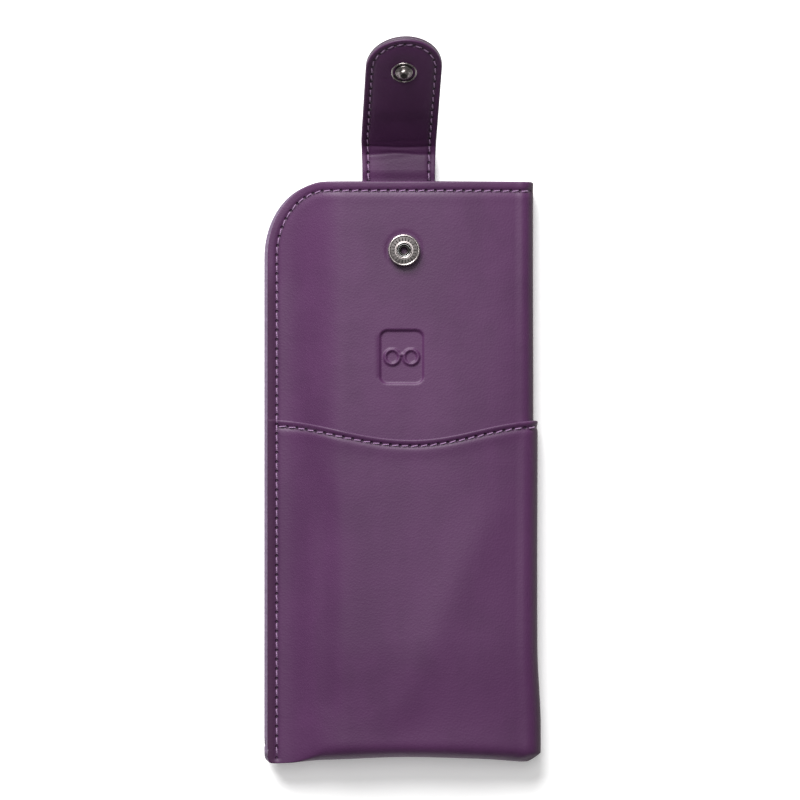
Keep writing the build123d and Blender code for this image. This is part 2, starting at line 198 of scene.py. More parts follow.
def add(tree, kind, inputs=None, **values):
    """A new node, with its settings, and its inputs linked from a socket or set to a value."""
    node = tree.nodes.new(kind)
    for key, value in values.items():
        setattr(node, key, value)
    fill(tree, node, inputs or {})
    return node


def fill(tree, node, inputs):
    for key, value in inputs.items():
        if isinstance(value, bpy.types.NodeSocket):
            tree.links.new(value, node.inputs[key])
        else:
            node.inputs[key].default_value = value


def maths(tree, operation, first, second=0.0):
    return add(tree, "ShaderNodeMath", {0: first, 1: second}, operation=operation).outputs[0]


def times(tree, first, second):
    return maths(tree, "MULTIPLY", first, second)


def plus(tree, first, second):
    return maths(tree, "ADD", first, second)


def vector(tree, **parts):
    return add(tree, "ShaderNodeCombineXYZ", parts).outputs[0]


def mapped(tree, place, **change):
    return add(tree, "ShaderNodeMapping", {"Vector": place, **change}).outputs[0]


def stored(tree, name):
    """The three parts of a vector that is stored on the mesh's points."""
    source = add(tree, "ShaderNodeAttribute", attribute_name=name)
    return add(tree, "ShaderNodeSeparateXYZ", {"Vector": source.outputs["Vector"]}).outputs


def shaded(colour, share):
    return tuple(c * share for c in colour)


def ramp(tree, value, low, high, to_low=0.0, to_high=1.0):
    """value carried smoothly from the range low..high to the range to_low..to_high."""
    inputs = {"Value": value, "From Min": low, "From Max": high, "To Min": to_low, "To Max": to_high}
    return add(tree, "ShaderNodeMapRange", inputs, interpolation_type="SMOOTHSTEP").outputs["Result"]


def noise(tree, place, scale, detail=2.0, roughness=0.5):
    inputs = {"Vector": place, "Scale": scale, "Detail": detail, "Roughness": roughness}
    return add(tree, "ShaderNodeTexNoise", inputs).outputs["Fac"]


def blend_colours(tree, share, first, second):
    """A colour mix; each colour is a socket or three numbers."""
    node = add(tree, "ShaderNodeMix", data_type="RGBA")
    tree.links.new(share, node.inputs["Factor"])
    for slot, colour in ((6, first), (7, second)):
        if isinstance(colour, bpy.types.NodeSocket):
            tree.links.new(colour, node.inputs[slot])
        else:
            node.inputs[slot].default_value = (*colour, 1.0)
    return node.outputs[2]


def new_material(name):
    """A material and its tree, shader and object coordinates."""
    material = bpy.data.materials.new(name)
    material.use_nodes = True
    tree = material.node_tree
    shader = tree.nodes["Principled BSDF"]
    place = add(tree, "ShaderNodeTexCoord").outputs["Object"]
    return material, tree, shader, place


def bump(tree, height, distance, normal=None):
    inputs = {"Height": height, "Distance": distance}
    if normal:
        inputs["Normal"] = normal
    return add(tree, "ShaderNodeBump", inputs).outputs["Normal"]


# ---- materials ----

# How much of each part of the leather's colour is left under the painted shade at the side seam's border and
# round the fold.
PAINTED_SHADE_SHARE = (0.5, 0.22, 0.42)


def leather_material(name, light, shade, gloss=0.53):
    """Smooth dyed leather: fine grain, soft mottling and a needle hole between each pair of stitches, with
    painted shade in the needle holes, along the stitch rows, at the side seam's border and round the fold,
    and a painted highlight along the fold.
    """
    material, tree, shader, place = new_material(name)
    grain = add(tree, "ShaderNodeTexVoronoi", {"Vector": place, "Scale": 1500.0, "Randomness": 1.0})
    pebble = ramp(tree, grain.outputs["Distance"], 0.0, 0.75, 1.0, 0.0)
    pores = noise(tree, place, 2600.0, 3.0, 0.6)
    mottle = noise(tree, place, 38.0, 4.0, 0.6)
    streak = noise(tree, mapped(tree, place, Scale=(1.0, 0.25, 1.0)), 120.0, 3.0, 0.55)
    tone = plus(tree, times(tree, mottle, 0.7), times(tree, streak, 0.3))
    base = blend_colours(tree, ramp(tree, tone, 0.36, 0.64), shade, light)
    stitch, edge = stored(tree, "stitch"), stored(tree, "edge")
    along = maths(tree, "SUBTRACT", maths(tree, "FRACT", plus(tree, stitch["X"], 0.5)), 0.5)
    along = times(tree, along, in_mm(settings().pitch))
    across = stitch["Y"]
    reach = maths(tree, "SQRT", plus(tree, times(tree, along, along), times(tree, across, across)))
    # Painted shade: the leather is darkened in each needle hole and along each stitch row.
    hole = ramp(tree, reach, 0.22, 0.62, 1.0, 0.0)
    row_shade = times(tree, ramp(tree, across, 0.2, 1.2, 1.0, 0.0), 0.3)
    dark = maths(tree, "MAXIMUM", hole, row_shade)
    base = blend_colours(tree, times(tree, dark, 0.72), base, shaded(shade, 0.1))
    # Painted shade: the first part of edge darkens the leather at the side seam's border and round the fold.
    base = blend_colours(tree, edge["X"], base, tuple(c * f for c, f in zip(shade, PAINTED_SHADE_SHARE)))
    # Painted highlight: the second part of edge lays a brown tint along the fold.
    highlit = times(tree, edge["Y"], ramp(tree, streak, 0.3, 0.6, 0.45, 1.0))
    base = blend_colours(tree, highlit, base, tuple(settings().fold_highlight_colour))
    rough = ramp(tree, noise(tree, place, 90.0, 3.0, 0.6), 0.3, 0.7, gloss - 0.01, gloss + 0.02)
    rough = plus(tree, rough, times(tree, edge["X"], 0.2))
    fine = bump(tree, plus(tree, pebble, times(tree, pores, 0.5)), 0.000018)
    broad = bump(tree, noise(tree, place, 160.0, 2.0, 0.5), 0.00005, fine)
    normal = bump(tree, maths(tree, "SUBTRACT", 1.0, hole), 0.00025, broad)
    shine = plus(tree, times(tree, edge["X"], -0.16), 0.46)
    fill(tree, shader, {"Base Color": base, "Roughness": rough, "Normal": normal, "Specular IOR Level": shine,
                        "Sheen Weight": 0.03, "Sheen Roughness": 0.4})
    return material


def edge_material(name, colour, shine=0.5):
    """The cut edge of leather: fibrous and matt."""
    material, tree, shader, place = new_material(name)
    fibre = noise(tree, mapped(tree, place, Scale=(1.0, 1.0, 5.0)), 900.0, 4.0, 0.7)
    base = blend_colours(tree, ramp(tree, fibre, 0.3, 0.7), shaded(colour, 0.72), colour)
    fill(tree, shader, {"Base Color": base, "Normal": bump(tree, fibre, 0.00006), "Specular IOR Level": shine,
                        "Roughness": 0.62})
    return material


def woven_material(name, colour, threads=2600.0):
    """Fine twill cloth."""
    material, tree, shader, place = new_material(name)
    turned = mapped(tree, place, Rotation=(0.0, 0.0, radians(35)))
    rib = add(tree, "ShaderNodeTexWave", {"Vector": turned, "Scale": threads / 6, "Distortion": 0.6},
              bands_direction="X").outputs["Fac"]
    slub = noise(tree, place, 420.0, 3.0, 0.6)
    weave = plus(tree, times(tree, rib, 0.7), times(tree, slub, 0.3))
    base = blend_colours(tree, weave, shaded(colour, 0.6), shaded(colour, 1.35))
    fill(tree, shader, {"Base Color": base, "Normal": bump(tree, weave, 0.00005), "Roughness": 0.7,
                        "Sheen Weight": 0.3})
    return material


def foam_material(name, colour):
    """Open-cell foam or fibre board."""
    material, tree, shader, place = new_material(name)
    cells = add(tree, "ShaderNodeTexVoronoi", {"Vector": place, "Scale": 1800.0}).outputs["Distance"]
    base = blend_colours(tree, ramp(tree, cells, 0.1, 0.7), shaded(colour, 0.6), colour)
    fill(tree, shader, {"Base Color": base, "Normal": bump(tree, cells, 0.0002), "Roughness": 0.9})
    return material


def thread_material(name, colour):
    """Waxed two-ply thread: the plies show as slanting stripes round each stitch."""
    material, tree, shader, place = new_material(name)
    along = add(tree, "ShaderNodeAttribute", attribute_name="ply_along").outputs["Fac"]
    turn = add(tree, "ShaderNodeAttribute", attribute_name="ply_turn").outputs["Fac"]
    phase = plus(tree, times(tree, along, 5.0), times(tree, turn, 2.0))
    ply = maths(tree, "ABSOLUTE", maths(tree, "SINE", times(tree, phase, pi)))
    fuzz = noise(tree, place, 3200.0, 3.0, 0.6)
    base = blend_colours(tree, ramp(tree, ply, 0.0, 0.7), shaded(colour, 0.4), colour)
    lift = plus(tree, ply, times(tree, fuzz, 0.4))
    fill(tree, shader, {"Base Color": base, "Normal": bump(tree, lift, 0.00009), "Roughness": 0.5,
                        "Sheen Weight": 0.25})
    return material


def metal_material(name, colour, rough=0.26):
    """Antique nickel plate with dark patina and fine scratches. Its two darker copies are painted shade, laid
    on the snap's recesses so that what is proud stays bright.
    """
    material, tree, shader, place = new_material(name)
    patina = noise(tree, place, 900.0, 4.0, 0.65)
    scratch = noise(tree, mapped(tree, place, Scale=(1.0, 9.0, 1.0)), 700.0, 3.0, 0.7)
    base = blend_colours(tree, ramp(tree, patina, 0.4, 0.7), colour, shaded(colour, 0.6))
    roughness = ramp(tree, scratch, 0.3, 0.7, rough - 0.06, rough + 0.12)
    fill(tree, shader, {"Base Color": base, "Roughness": roughness, "Normal": bump(tree, scratch, 0.000005),
                        "Metallic": 1.0})
    return material


MAKERS = {
    "case_leather": lambda s: leather_material("case_leather", s.leather_colour, s.leather_shade),
    "cut_edge": lambda s: edge_material("cut_edge", tuple(s.edge_colour)),
    "flesh_side": lambda s: edge_material("flesh_side", tuple(s.edge_colour), 0.1),
    "painted_edge": lambda s: edge_material("painted_edge", tuple(s.paint_colour)),
    "lining_cloth": lambda s: woven_material("lining_cloth", tuple(s.lining_colour)),
    "foam_sheet": lambda s: foam_material("foam_sheet", (0.30, 0.28, 0.29)),
    "fibre_board": lambda s: foam_material("fibre_board", (0.5, 0.43, 0.34)),
    "sewing_thread": lambda s: thread_material("sewing_thread", tuple(s.thread_colour)),
    "antique_nickel": lambda s: metal_material("antique_nickel", tuple(s.metal_colour)),
    # The two darker nickels are painted shade for the snap's recesses, the inside of its cup, its eyelet,
    # bars and post.
    "nickel_painted_shade": lambda s: metal_material("nickel_painted_shade", shaded(s.metal_colour, 0.16), 0.4),
    "sunk_band_painted_shade": lambda s: metal_material("sunk_band_painted_shade", shaded(s.metal_colour, 0.3), 0.36),
    "spring_wire": lambda s: metal_material("spring_wire", (0.5, 0.5, 0.5), 0.2),
    "washer_plastic": lambda s: edge_material("washer_plastic", (0.03, 0.03, 0.03)),
}


def material(name):
    return bpy.data.materials.get(name) or MAKERS[name](settings())


# ---- the pouch's surface ----

def ease(t):
    t = np.clip(t, 0.0, 1.0)
    return t * t * (3 - 2 * t)


def front_height(x):
    """The front's height above the shell's underside, away from the bottom."""
    fall = CROWN_RADIUS - np.sqrt(np.maximum(CROWN_RADIUS ** 2 - np.maximum(x - FLAT_END, 0) ** 2, 1.0))
    seam = SEAM_Z - SHELL_Z + SEAM_HALF
    return seam + (HEIGHT - seam) * ease((x - RISE_START) / FRONT_RISE) - fall


def back_height(x):
    seam = SEAM_Z - SHELL_Z - SEAM_HALF
    return seam * (1 - ease((x - RISE_START) / BACK_RISE))


def lip_gap(x, y):
    """How far the two lips stand apart above the top of the side seam."""
    return 1.1 * ease((y - SEAM_END_Y) / 26) * (1 - ease((x - RISE_START) / 22))


def edge_x(y, left):
    """The pouch's left edge at y, with its rounded top corner."""
    wide, tall = CORNER
    up = np.clip((y - (MOUTH_Y - tall)) / tall, 0, 1)
    return left + wide * (1 - np.sqrt(1 - up ** 2))


def edge_distance(x, y, left):
    """How far a point of the plan is inside the left edge, the corner or the mouth."""
    wide, tall = CORNER
    cx, cy = left + wide, MOUTH_Y - tall
    across, up = np.maximum(cx - x, 0) / wide, np.maximum(y - cy, 0) / tall
    reach = np.sqrt(across ** 2 + up ** 2)
    slope = np.sqrt((across / wide) ** 2 + (up / tall) ** 2) / np.maximum(reach, 1e-6)
    corner = (1 - reach) / np.maximum(slope, 1e-6)
    straight = np.minimum(x - left, MOUTH_Y - y)
    return np.where((x < cx) & (y > cy), np.minimum(corner, straight), straight)


def along_heights(y, nose, depth):
    """The lowest and highest that a layer reaches at y.

    nose is the turn round the bottom, from 0 to a right angle."""
    half = (NOSE_HALF - depth) * np.maximum(np.cos(nose), 0) ** NOSE_SQUARE
    fall = (HEIGHT - 2 * NOSE_HALF) * ease((NOSE_Y + NOSE_RISE - y) / NOSE_RISE)
    top = np.where(nose > 0, NOSE_HALF + half, HEIGHT - fall - depth)
    low = np.where(nose > 0, NOSE_HALF - half, depth)
    return low, top


def settle(x, y, z, nose, depth):
    """Carries the section at x to its place along the case: it thins towards the turned bottom edge."""
    low, top = along_heights(y, nose, depth)
    body = low + (z - depth) * (top - low) / (HEIGHT - 2 * depth)
    seam = np.clip(z, low, top)
    z = seam + (body - seam) * ease((x - RISE_START) / FRONT_RISE)
    y = np.where(nose > 0, NOSE_Y - (NOSE_RADIUS - depth) * np.sin(nose) ** NOSE_SQUARE, y)
    foot = NOSE_Y - NOSE_RADIUS + depth
    share = np.clip((foot + CHAMFER[1] - y) / CHAMFER[1], 0, 1)
    cut = 0.7 * share + 0.3 * (1 - np.sqrt(1 - share ** 2))
    tip = 1 - np.sqrt(1 - np.clip((foot + 1.7 - y) / 1.7, 0, 1) ** 2)
    near_end = ease((-58 - y) / 27)
    y = y + near_end * 1.3 * np.clip(1 - ((x - 4) / 36) ** 2, 0, 1) - near_end * 0.5 * ease((-22 - x) / 16)
    right, left = ease((x - 22) / 18), 1 - ease((x - SEAM_X) / 6)
    notch = 0.9 * np.exp(-((y - foot - 3.1) / 0.55) ** 2) * (1 - ease((x - SEAM_X) / 1.6))
    x = x + right * (1.0 * ease((-52 - y) / 26) - CHAMFER[0] * cut) + left * 1.5 * tip + notch
    return np.stack([x, y, np.maximum(z + SHELL_Z, 0.0)], axis=-1)


def warp(x, y, left):
    """Shifts the columns of the front or back so that the first one follows the edge."""
    edge = edge_x(y, left)
    share = (COLUMN_WARP - edge) / (COLUMN_WARP - left)
    return np.where(x < COLUMN_WARP, edge + (x - left) * share, x)


def soft_folds(x, y):
    """Gentle hollows and swells of leather that has been carried about, as a depth."""
    depth = 0.10 * np.sin(x / 9 + 0.7) * np.sin(y / 21 + 0.4) + 0.07 * np.sin(x / 5.1 + y / 13 + 1.9)
    valley = np.exp(-((x + 21 + 0.02 * (y + 60)) / 4.2) ** 2) * ease((2 - y) / 20) * ease((y + 84) / 18)
    ridge_x = (x - 8 - (y + 55) * 0.45) / 7.5
    ridge = np.exp(-ridge_x ** 2) * ease((2 - y) / 28) * ease((y + 84) / 14)
    shoulder = np.exp(-((x - 23) / 8) ** 2 - ((y - 52) / 22) ** 2)
    return (depth + 0.55 * valley - 0.45 * ridge + 0.22 * shoulder) * ease((x - RISE_START - 4) / 10)


def mark_depth(x, y):
    """The stamped panel with a raised pictogram of spectacles, as a depth."""
    px, py = np.abs(x - MARK["x"]), np.abs(y - MARK["y"])
    half_w, half_h, corner = MARK["width"] / 2, MARK["height"] / 2, MARK["corner"]
    qx, qy = px - half_w + corner, py - half_h + corner
    outside = np.hypot(np.maximum(qx, 0), np.maximum(qy, 0)) + np.minimum(np.maximum(qx, qy), 0) - corner
    soft = MARK["soft"]
    panel = 1 - ease((outside + soft) / (2 * soft))
    lens = np.abs(np.hypot(px - LENS_SPACING / 2, y - MARK["y"]) - LENS_RADIUS)
    bridge = np.hypot(np.maximum(px - (LENS_SPACING / 2 - LENS_RADIUS), 0), np.abs(y - MARK["y"] - 0.7))
    line = np.minimum(lens, bridge)
    relief = 1 - ease((line - RELIEF + 0.15) / 0.3)
    return MARK["depth"] * panel * (1 - 0.85 * relief)


def snap_dimple(x, y):
    """The ring that the snap presses into the front."""
    away = np.hypot(x - SNAP_X, y - SNAP_Y)
    ring = 0.28 * np.exp(-((away - 5.1) / 0.7) ** 2) + 0.12 * np.exp(-(away / 8.5) ** 2)
    return ring + 0.75 * (1 - ease((away - 1.0) / 0.8))


class StitchLine:
    """A row of stitches in plan, with its length and a quick search for the nearest point."""

    def __init__(self, points):
        points = np.array(points, float)
        steps = np.linalg.norm(np.diff(points, axis=0), axis=1)
        self.along = np.concatenate([[0], np.cumsum(steps)])
        self.points = points
        self.count = max(1, round(self.along[-1] / in_mm(settings().pitch)))
        fine = np.arange(0, self.along[-1], 0.1)
        self.fine = fine
        self.tree = KDTree(len(fine))
        for i, spot in enumerate(self.at(fine)):
            self.tree.insert((spot[0], spot[1], 0), i)
        self.tree.balance()

    def at(self, s):
        return np.stack([np.interp(s, self.along, self.points[:, k]) for k in range(2)], axis=-1)

    def nearest(self, x, y):
        """Stitches along and millimetres across, for each plan point."""
        near = [self.tree.find((a, b, 0)) for a, b in zip(x, y)]
        index = np.array([n[1] for n in near])
        return self.fine[index] * self.count / self.along[-1], np.array([n[2] for n in near])


def border_line():
    """Up the side seam, round the corner and along the mouth."""
    left, top = FRONT_EDGE + SIDE_INSET, MOUTH_Y - TOP_INSET
    wide, tall = CORNER[0] - SIDE_INSET, CORNER[1] - TOP_INSET
    points = [(left, BOTTOM_Y + 1.2), (left, top - tall)]
    turns = np.linspace(0.02, pi / 2, 60)
    points += [(left + wide * (1 - cos(a)), top - tall + tall * sin(a)) for a in turns]
    return StitchLine(points + [(FOLD_X - 1.2, top)])


def scoop_y(x):
    """The height of the pocket's top edge."""
    away = x - SCOOP["low_x"]
    run = np.where(away < 0, SCOOP["left_run"], SCOOP["right_run"])
    rise = np.where(away < 0, SCOOP["left_rise"], SCOOP["right_rise"])
    return SCOOP["low"] + rise * (1 - np.cos(pi * np.minimum(np.abs(away) / run, 1))) / 2


def scoop_line():
    xs = np.linspace(FRONT_EDGE + SIDE_INSET + 0.3, FOLD_X - 0.4, 80)
    return StitchLine([(x, float(scoop_y(x)) - SCOOP_INSET) for x in xs])


def groove(across):
    """The depth of the hollow that a row of stitches pulls into the leather."""
    return 0.42 * np.exp(-(across / 0.75) ** 2) - 0.04 * np.exp(-((across - 2.4) / 1.1) ** 2)


def round_edge(distance, radius):
    """The depth by which an edge is rounded off at a distance inside it."""
    inside = np.clip(radius - distance, 0, radius)
    return radius - np.sqrt(radius ** 2 - inside ** 2)


def steps(*stretches):
    """Values from one limit to the next, each stretch (start, end, spacing)."""
    values = []
    for start, end, spacing in stretches:
        count = max(1, round(abs(end - start) / spacing))
        values += list(np.linspace(start, end, count, endpoint=False))
    return values + [stretches[-1][1]]


EDGE_STEPS = [0.0, 0.08, 0.2, 0.4, 0.7]


class Pouch:
    """The grid that every layer of the pouch shares: columns round the section, and rows along it."""

    def __init__(self, fine=1.0, inset=0.0, drop=0.0):
        front = [FRONT_EDGE + inset + e for e in EDGE_STEPS]
        front += steps((FRONT_EDGE + inset + 1.1, RISE_START + 1, 0.45 * fine),
                       (RISE_START + 1, RISE_END, 1.1 * fine), (RISE_END, -6.0, 1.4 * fine),
                       (-6.0, 8.0, 0.36 * fine), (8.0, FLAT_END, 1.0),
                       (FLAT_END, FLAT_END + CROWN_RUN, 1.3 * fine))
        turn = np.linspace(pi / 2 - CROWN_FALL, -pi / 2, round(24 / sqrt(fine)))[1:-1]
        back = steps((FOLD_CENTRE, RISE_START, 1.8 * fine), (RISE_START, BACK_EDGE + inset + 1.1, 0.5 * fine))
        back += [BACK_EDGE + inset + e for e in reversed(EDGE_STEPS)]
        top = MOUTH_Y - drop
        rows = steps((NOSE_Y, 26.0, 1.5 * fine), (26.0, 43.6, 0.36 * fine), (43.6, 60.0, 1.1 * fine),
                     (60.0, top - 3.5, 0.7 * fine), (top - 3.5, top - 1.1, 0.4 * fine))
        self.set_grid(front, turn, back, rows + [top - e for e in reversed(EDGE_STEPS)])

    def set_grid(self, front, turn, back, rows):
        self.kind = np.array([0] * len(front) + [1] * len(turn) + [2] * len(back))
        self.base = np.array(front + list(turn) + back)
        nose = np.linspace(pi / 2, 0, 14, endpoint=False)
        self.nose = np.concatenate([nose, np.zeros(len(rows))])
        self.rows = np.concatenate([NOSE_Y - NOSE_RADIUS * nose, rows])

    def plan(self):
        """Plan x and y of every column and row, and the x at which the layer's edge starts."""
        kind, base = self.kind[:, None], self.base[:, None]
        y = np.broadcast_to(self.rows[None, :], (len(self.base), len(self.rows)))
        left = np.where(kind == 0, FRONT_EDGE, BACK_EDGE)
        turned = FOLD_CENTRE + FOLD_RADIUS * np.cos(base)
        x = np.where(kind == 1, turned, warp(base, y, left))
        return x, y, left

    def place(self, x, y, nose, depth, kind, turn):
        """Points in space for plan points and a depth below the outer surface."""
        front = front_height(x) - depth + lip_gap(x, y)
        back = back_height(x) + depth - lip_gap(x, y)
        radius = FOLD_RADIUS - depth
        square = 1 + FOLD_SQUARE * np.sin(2 * turn) ** 2
        fold = FOLD_RADIUS + radius * square * np.sin(turn)
        z = np.where(kind == 0, front, np.where(kind == 2, back, fold))
        x = np.where(kind == 1, FOLD_CENTRE + radius * square * np.cos(turn), x)
        return settle(x, y, z, nose, depth)

    def layer(self, outer, inner, rows=None):
        """The outer and inner grids of a layer; outer and inner give depths from the plan."""
        x, y, left = self.plan()
        kind = np.broadcast_to(self.kind[:, None], x.shape)
        turn = np.broadcast_to(self.base[:, None], x.shape)
        nose = np.broadcast_to(self.nose[None, :], x.shape)
        if rows is not None:
            y = rows(x, y)
        edge = np.where(kind == 1, MOUTH_Y - y, edge_distance(x, y, left))
        grids = [self.place(x, y, nose, depth(x, y, edge, kind), kind, turn) for depth in (outer, inner)]
        return grids[0], grids[1], x, y, kind, turn


def front_point(x, y, depth):
    """A point on the front, or on the upper half of the fold, and the way out of the surface there."""
    def spot(a, b):
        one = np.array([0.0])
        if a <= FLAT_END + CROWN_RUN:
            height = front_height(a) - depth + lip_gap(a, b)
            return settle(one + a, one + b, one + height, one, depth)[0]
        turn = np.arccos(min(1.0, (a - FOLD_CENTRE) / FOLD_RADIUS))
        radius = (FOLD_RADIUS - depth) * (1 + FOLD_SQUARE * sin(2 * turn) ** 2)
        return settle(one + FOLD_CENTRE + radius * np.cos(turn), one + b,
                      one + FOLD_RADIUS + radius * np.sin(turn), one, depth)[0]
    return with_normal(spot, x, y, 1)


def back_point(x, y, depth):
    def spot(a, b):
        one = np.array([0.0])
        height = back_height(a) + depth - lip_gap(a, b)
        return settle(one + a, one + b, one + height, one, depth)[0]
    return with_normal(spot, x, y, -1)


def with_normal(spot, x, y, side):
    here, step = spot(x, y), 0.15
    across = spot(x, y) - spot(x - step, y)
    along = spot(x, y + step) - here
    up = np.cross(across, along) * side
    return here, up / np.linalg.norm(up)


# ---- meshes ----

def new_object(name, mesh, materials=()):
    piece = bpy.data.objects.new(name, mesh)
    bpy.context.scene.collection.objects.link(piece)
    for entry in materials:
        mesh.materials.append(material(entry))
    return piece


def make_mesh(name, points, faces, slots=None, smooth=True):
    mesh = bpy.data.meshes.new(name)
    mesh.from_pydata((np.asarray(points) * MM).tolist(), [], faces)
    if slots is not None:
        mesh.polygons.foreach_set("material_index", slots)
    mesh.polygons.foreach_set("use_smooth", [smooth] * len(mesh.polygons))
    mesh.update()
    return mesh


def store(mesh, name, vectors):
    """Stores a vector on each of a mesh's points."""
    values = np.asarray(vectors, np.float32).ravel()
    mesh.attributes.new(name, "FLOAT_VECTOR", "POINT").data.foreach_set("vector", values)


def set_stitch(mesh, along, across):
    """Stores how far along and across its nearest row of stitches each point is."""
    values = np.zeros((len(mesh.vertices), 3), np.float32)
    values[:, 1] = UNSTITCHED
    values[:len(along), 0] = along
    values[:len(along), 1] = np.minimum(across, UNSTITCHED)
    store(mesh, "stitch", values)


def set_edge(mesh, x, y, kind, turn):
    """Stores how much painted shade darkens the leather at the seam and the fold, and how much painted
    highlight lies along the fold.
    """
    left = np.where(kind == 0, FRONT_EDGE, BACK_EDGE)
    # Painted shade along the side seam's border and round the fold.
    seam = ease((left + 2.7 - x) / 0.9) * ease((66 - y) / 14) * (kind == 0)
    fold = ease((radians(58) - turn) / radians(26)) * ease((turn + radians(75)) / radians(30)) * (kind == 1)
    # Painted highlight along the fold, weaker under the pocket.
    fold_highlight = np.exp(-((turn - radians(14)) / radians(8)) ** 2) * (kind == 1)
    fold_highlight = fold_highlight * np.where(y > scoop_y(x), 1.0, 0.35)
    values = np.zeros((len(mesh.vertices), 3), np.float32)
    values[:x.size, 0] = (0.7 * seam + 0.9 * fold).ravel()
    values[:x.size, 1] = (0.75 * fold_highlight).ravel()
    store(mesh, "edge", values)


def shell_faces(wide, long, closed=False):
    """Faces of two grids of points and the rims between them, and each face's material index.

    closed leaves out the rim of the last row, where the grid meets itself."""
    def spot(i, j, inner):
        return (i * long + j) + inner * wide * long
    faces, slots = [], []
    for i in range(wide - 1):
        for j in range(long - 1):
            faces.append((spot(i, j, 0), spot(i + 1, j, 0), spot(i + 1, j + 1, 0), spot(i, j + 1, 0)))
            faces.append((spot(i, j, 1), spot(i, j + 1, 1), spot(i + 1, j + 1, 1), spot(i + 1, j, 1)))
            slots += [0, 2]
    around = [(i, 0) for i in range(wide)] + [(wide - 1, j) for j in range(1, long)]
    around += [(i, long - 1) for i in range(wide - 2, -1, -1)]
    around += [(0, j) for j in range(long - 2, 0, -1)]
    for a, b in zip(around, around[1:] + around[:1]):
        if closed and a[1] == b[1] == long - 1:
            continue
        faces.append((spot(*b, 0), spot(*a, 0), spot(*a, 1), spot(*b, 1)))
        slots.append(1)
    return faces, slots


def pouch_piece(name, grids, materials, lines):
    """One layer of the pouch as a closed mesh, with its rows of stitches marked on its outer face."""
    outer, inner, x, y, kind, turn = grids
    wide, long = outer.shape[:2]
    points = np.concatenate([outer.reshape(-1, 3), inner.reshape(-1, 3)])
    faces, slots = shell_faces(wide, long)
    mesh = make_mesh(name, points, faces, slots)
    if lines:
        found = [line.nearest(x.ravel(), y.ravel()) for line in lines]
        across = np.array([f[1] for f in found])
        best = across.argmin(0)
        along = np.array([f[0] for f in found])[best, np.arange(x.size)]
        set_stitch(mesh, along, across.min(0))
        set_edge(mesh, x, y, kind, turn)
    return new_object(name, mesh, materials)


def strap_room(x, y, kind):
    """1 where the strap's root lies between the back's leather and lining, falling to 0 around it."""
    beside = ease((STRAP_HALF + 2.0 - np.abs(x)) / 1.6)
    return beside * ease((y - ROOT_LOW[1] + 1.8) / 1.6) * (kind == 2)


def padding(x, y, edge):
    """1 where the foam is full, falling to 0 at the seam and the mouth."""
    return ease((x - RISE_START) / 8) * ease((edge - 3.0) / 3.0)


def line_depth(line, x, y):
    """The groove of one stitch line."""
    _, across = line.nearest(x.ravel(), y.ravel())
    return groove(across.reshape(x.shape))


def finish_piece(piece, body, slot, *nodes):
    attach(piece, body)
    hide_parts(*nodes)
    return piece


def revolved(name, profile, centre, materials, turns=72, slots=None):
    """A turned piece: (radius, height) points round an upright axis. The profile is closed."""
    profile = np.array(profile, float)
    rings = []
    for k in range(turns):
        a = 2 * pi * k / turns
        rings.append(np.stack([profile[:, 0] * cos(a), profile[:, 0] * sin(a), profile[:, 1]], axis=-1))
    points = np.concatenate(rings) + np.array(centre)
    size = len(profile)
    faces, marks = [], []
    for k in range(turns):
        for i in range(size):
            a, b = k * size + i, k * size + (i + 1) % size
            step = (k + 1) % turns * size
            faces.append((a, step + i, step + (i + 1) % size, b))
            marks.append(slots[i] if slots else 0)
    mesh = make_mesh(name, points, faces, marks)
    tidy_mesh(mesh)
    return new_object(name, mesh, materials)


def tidy_mesh(mesh):
    """Welds doubles, turns every face outwards and marks the sharp edges."""
    shape = bmesh.new()
    shape.from_mesh(mesh)
    bmesh.ops.remove_doubles(shape, verts=shape.verts, dist=1e-6)
    bmesh.ops.dissolve_degenerate(shape, edges=shape.edges, dist=1e-7)
    bmesh.ops.recalc_face_normals(shape, faces=shape.faces)
    for edge in shape.edges:
        if len(edge.link_faces) == 2:
            edge.smooth = edge.calc_face_angle(0.0) < radians(42)
    shape.to_mesh(mesh)
    shape.free()


# ---- the stitch tree ----

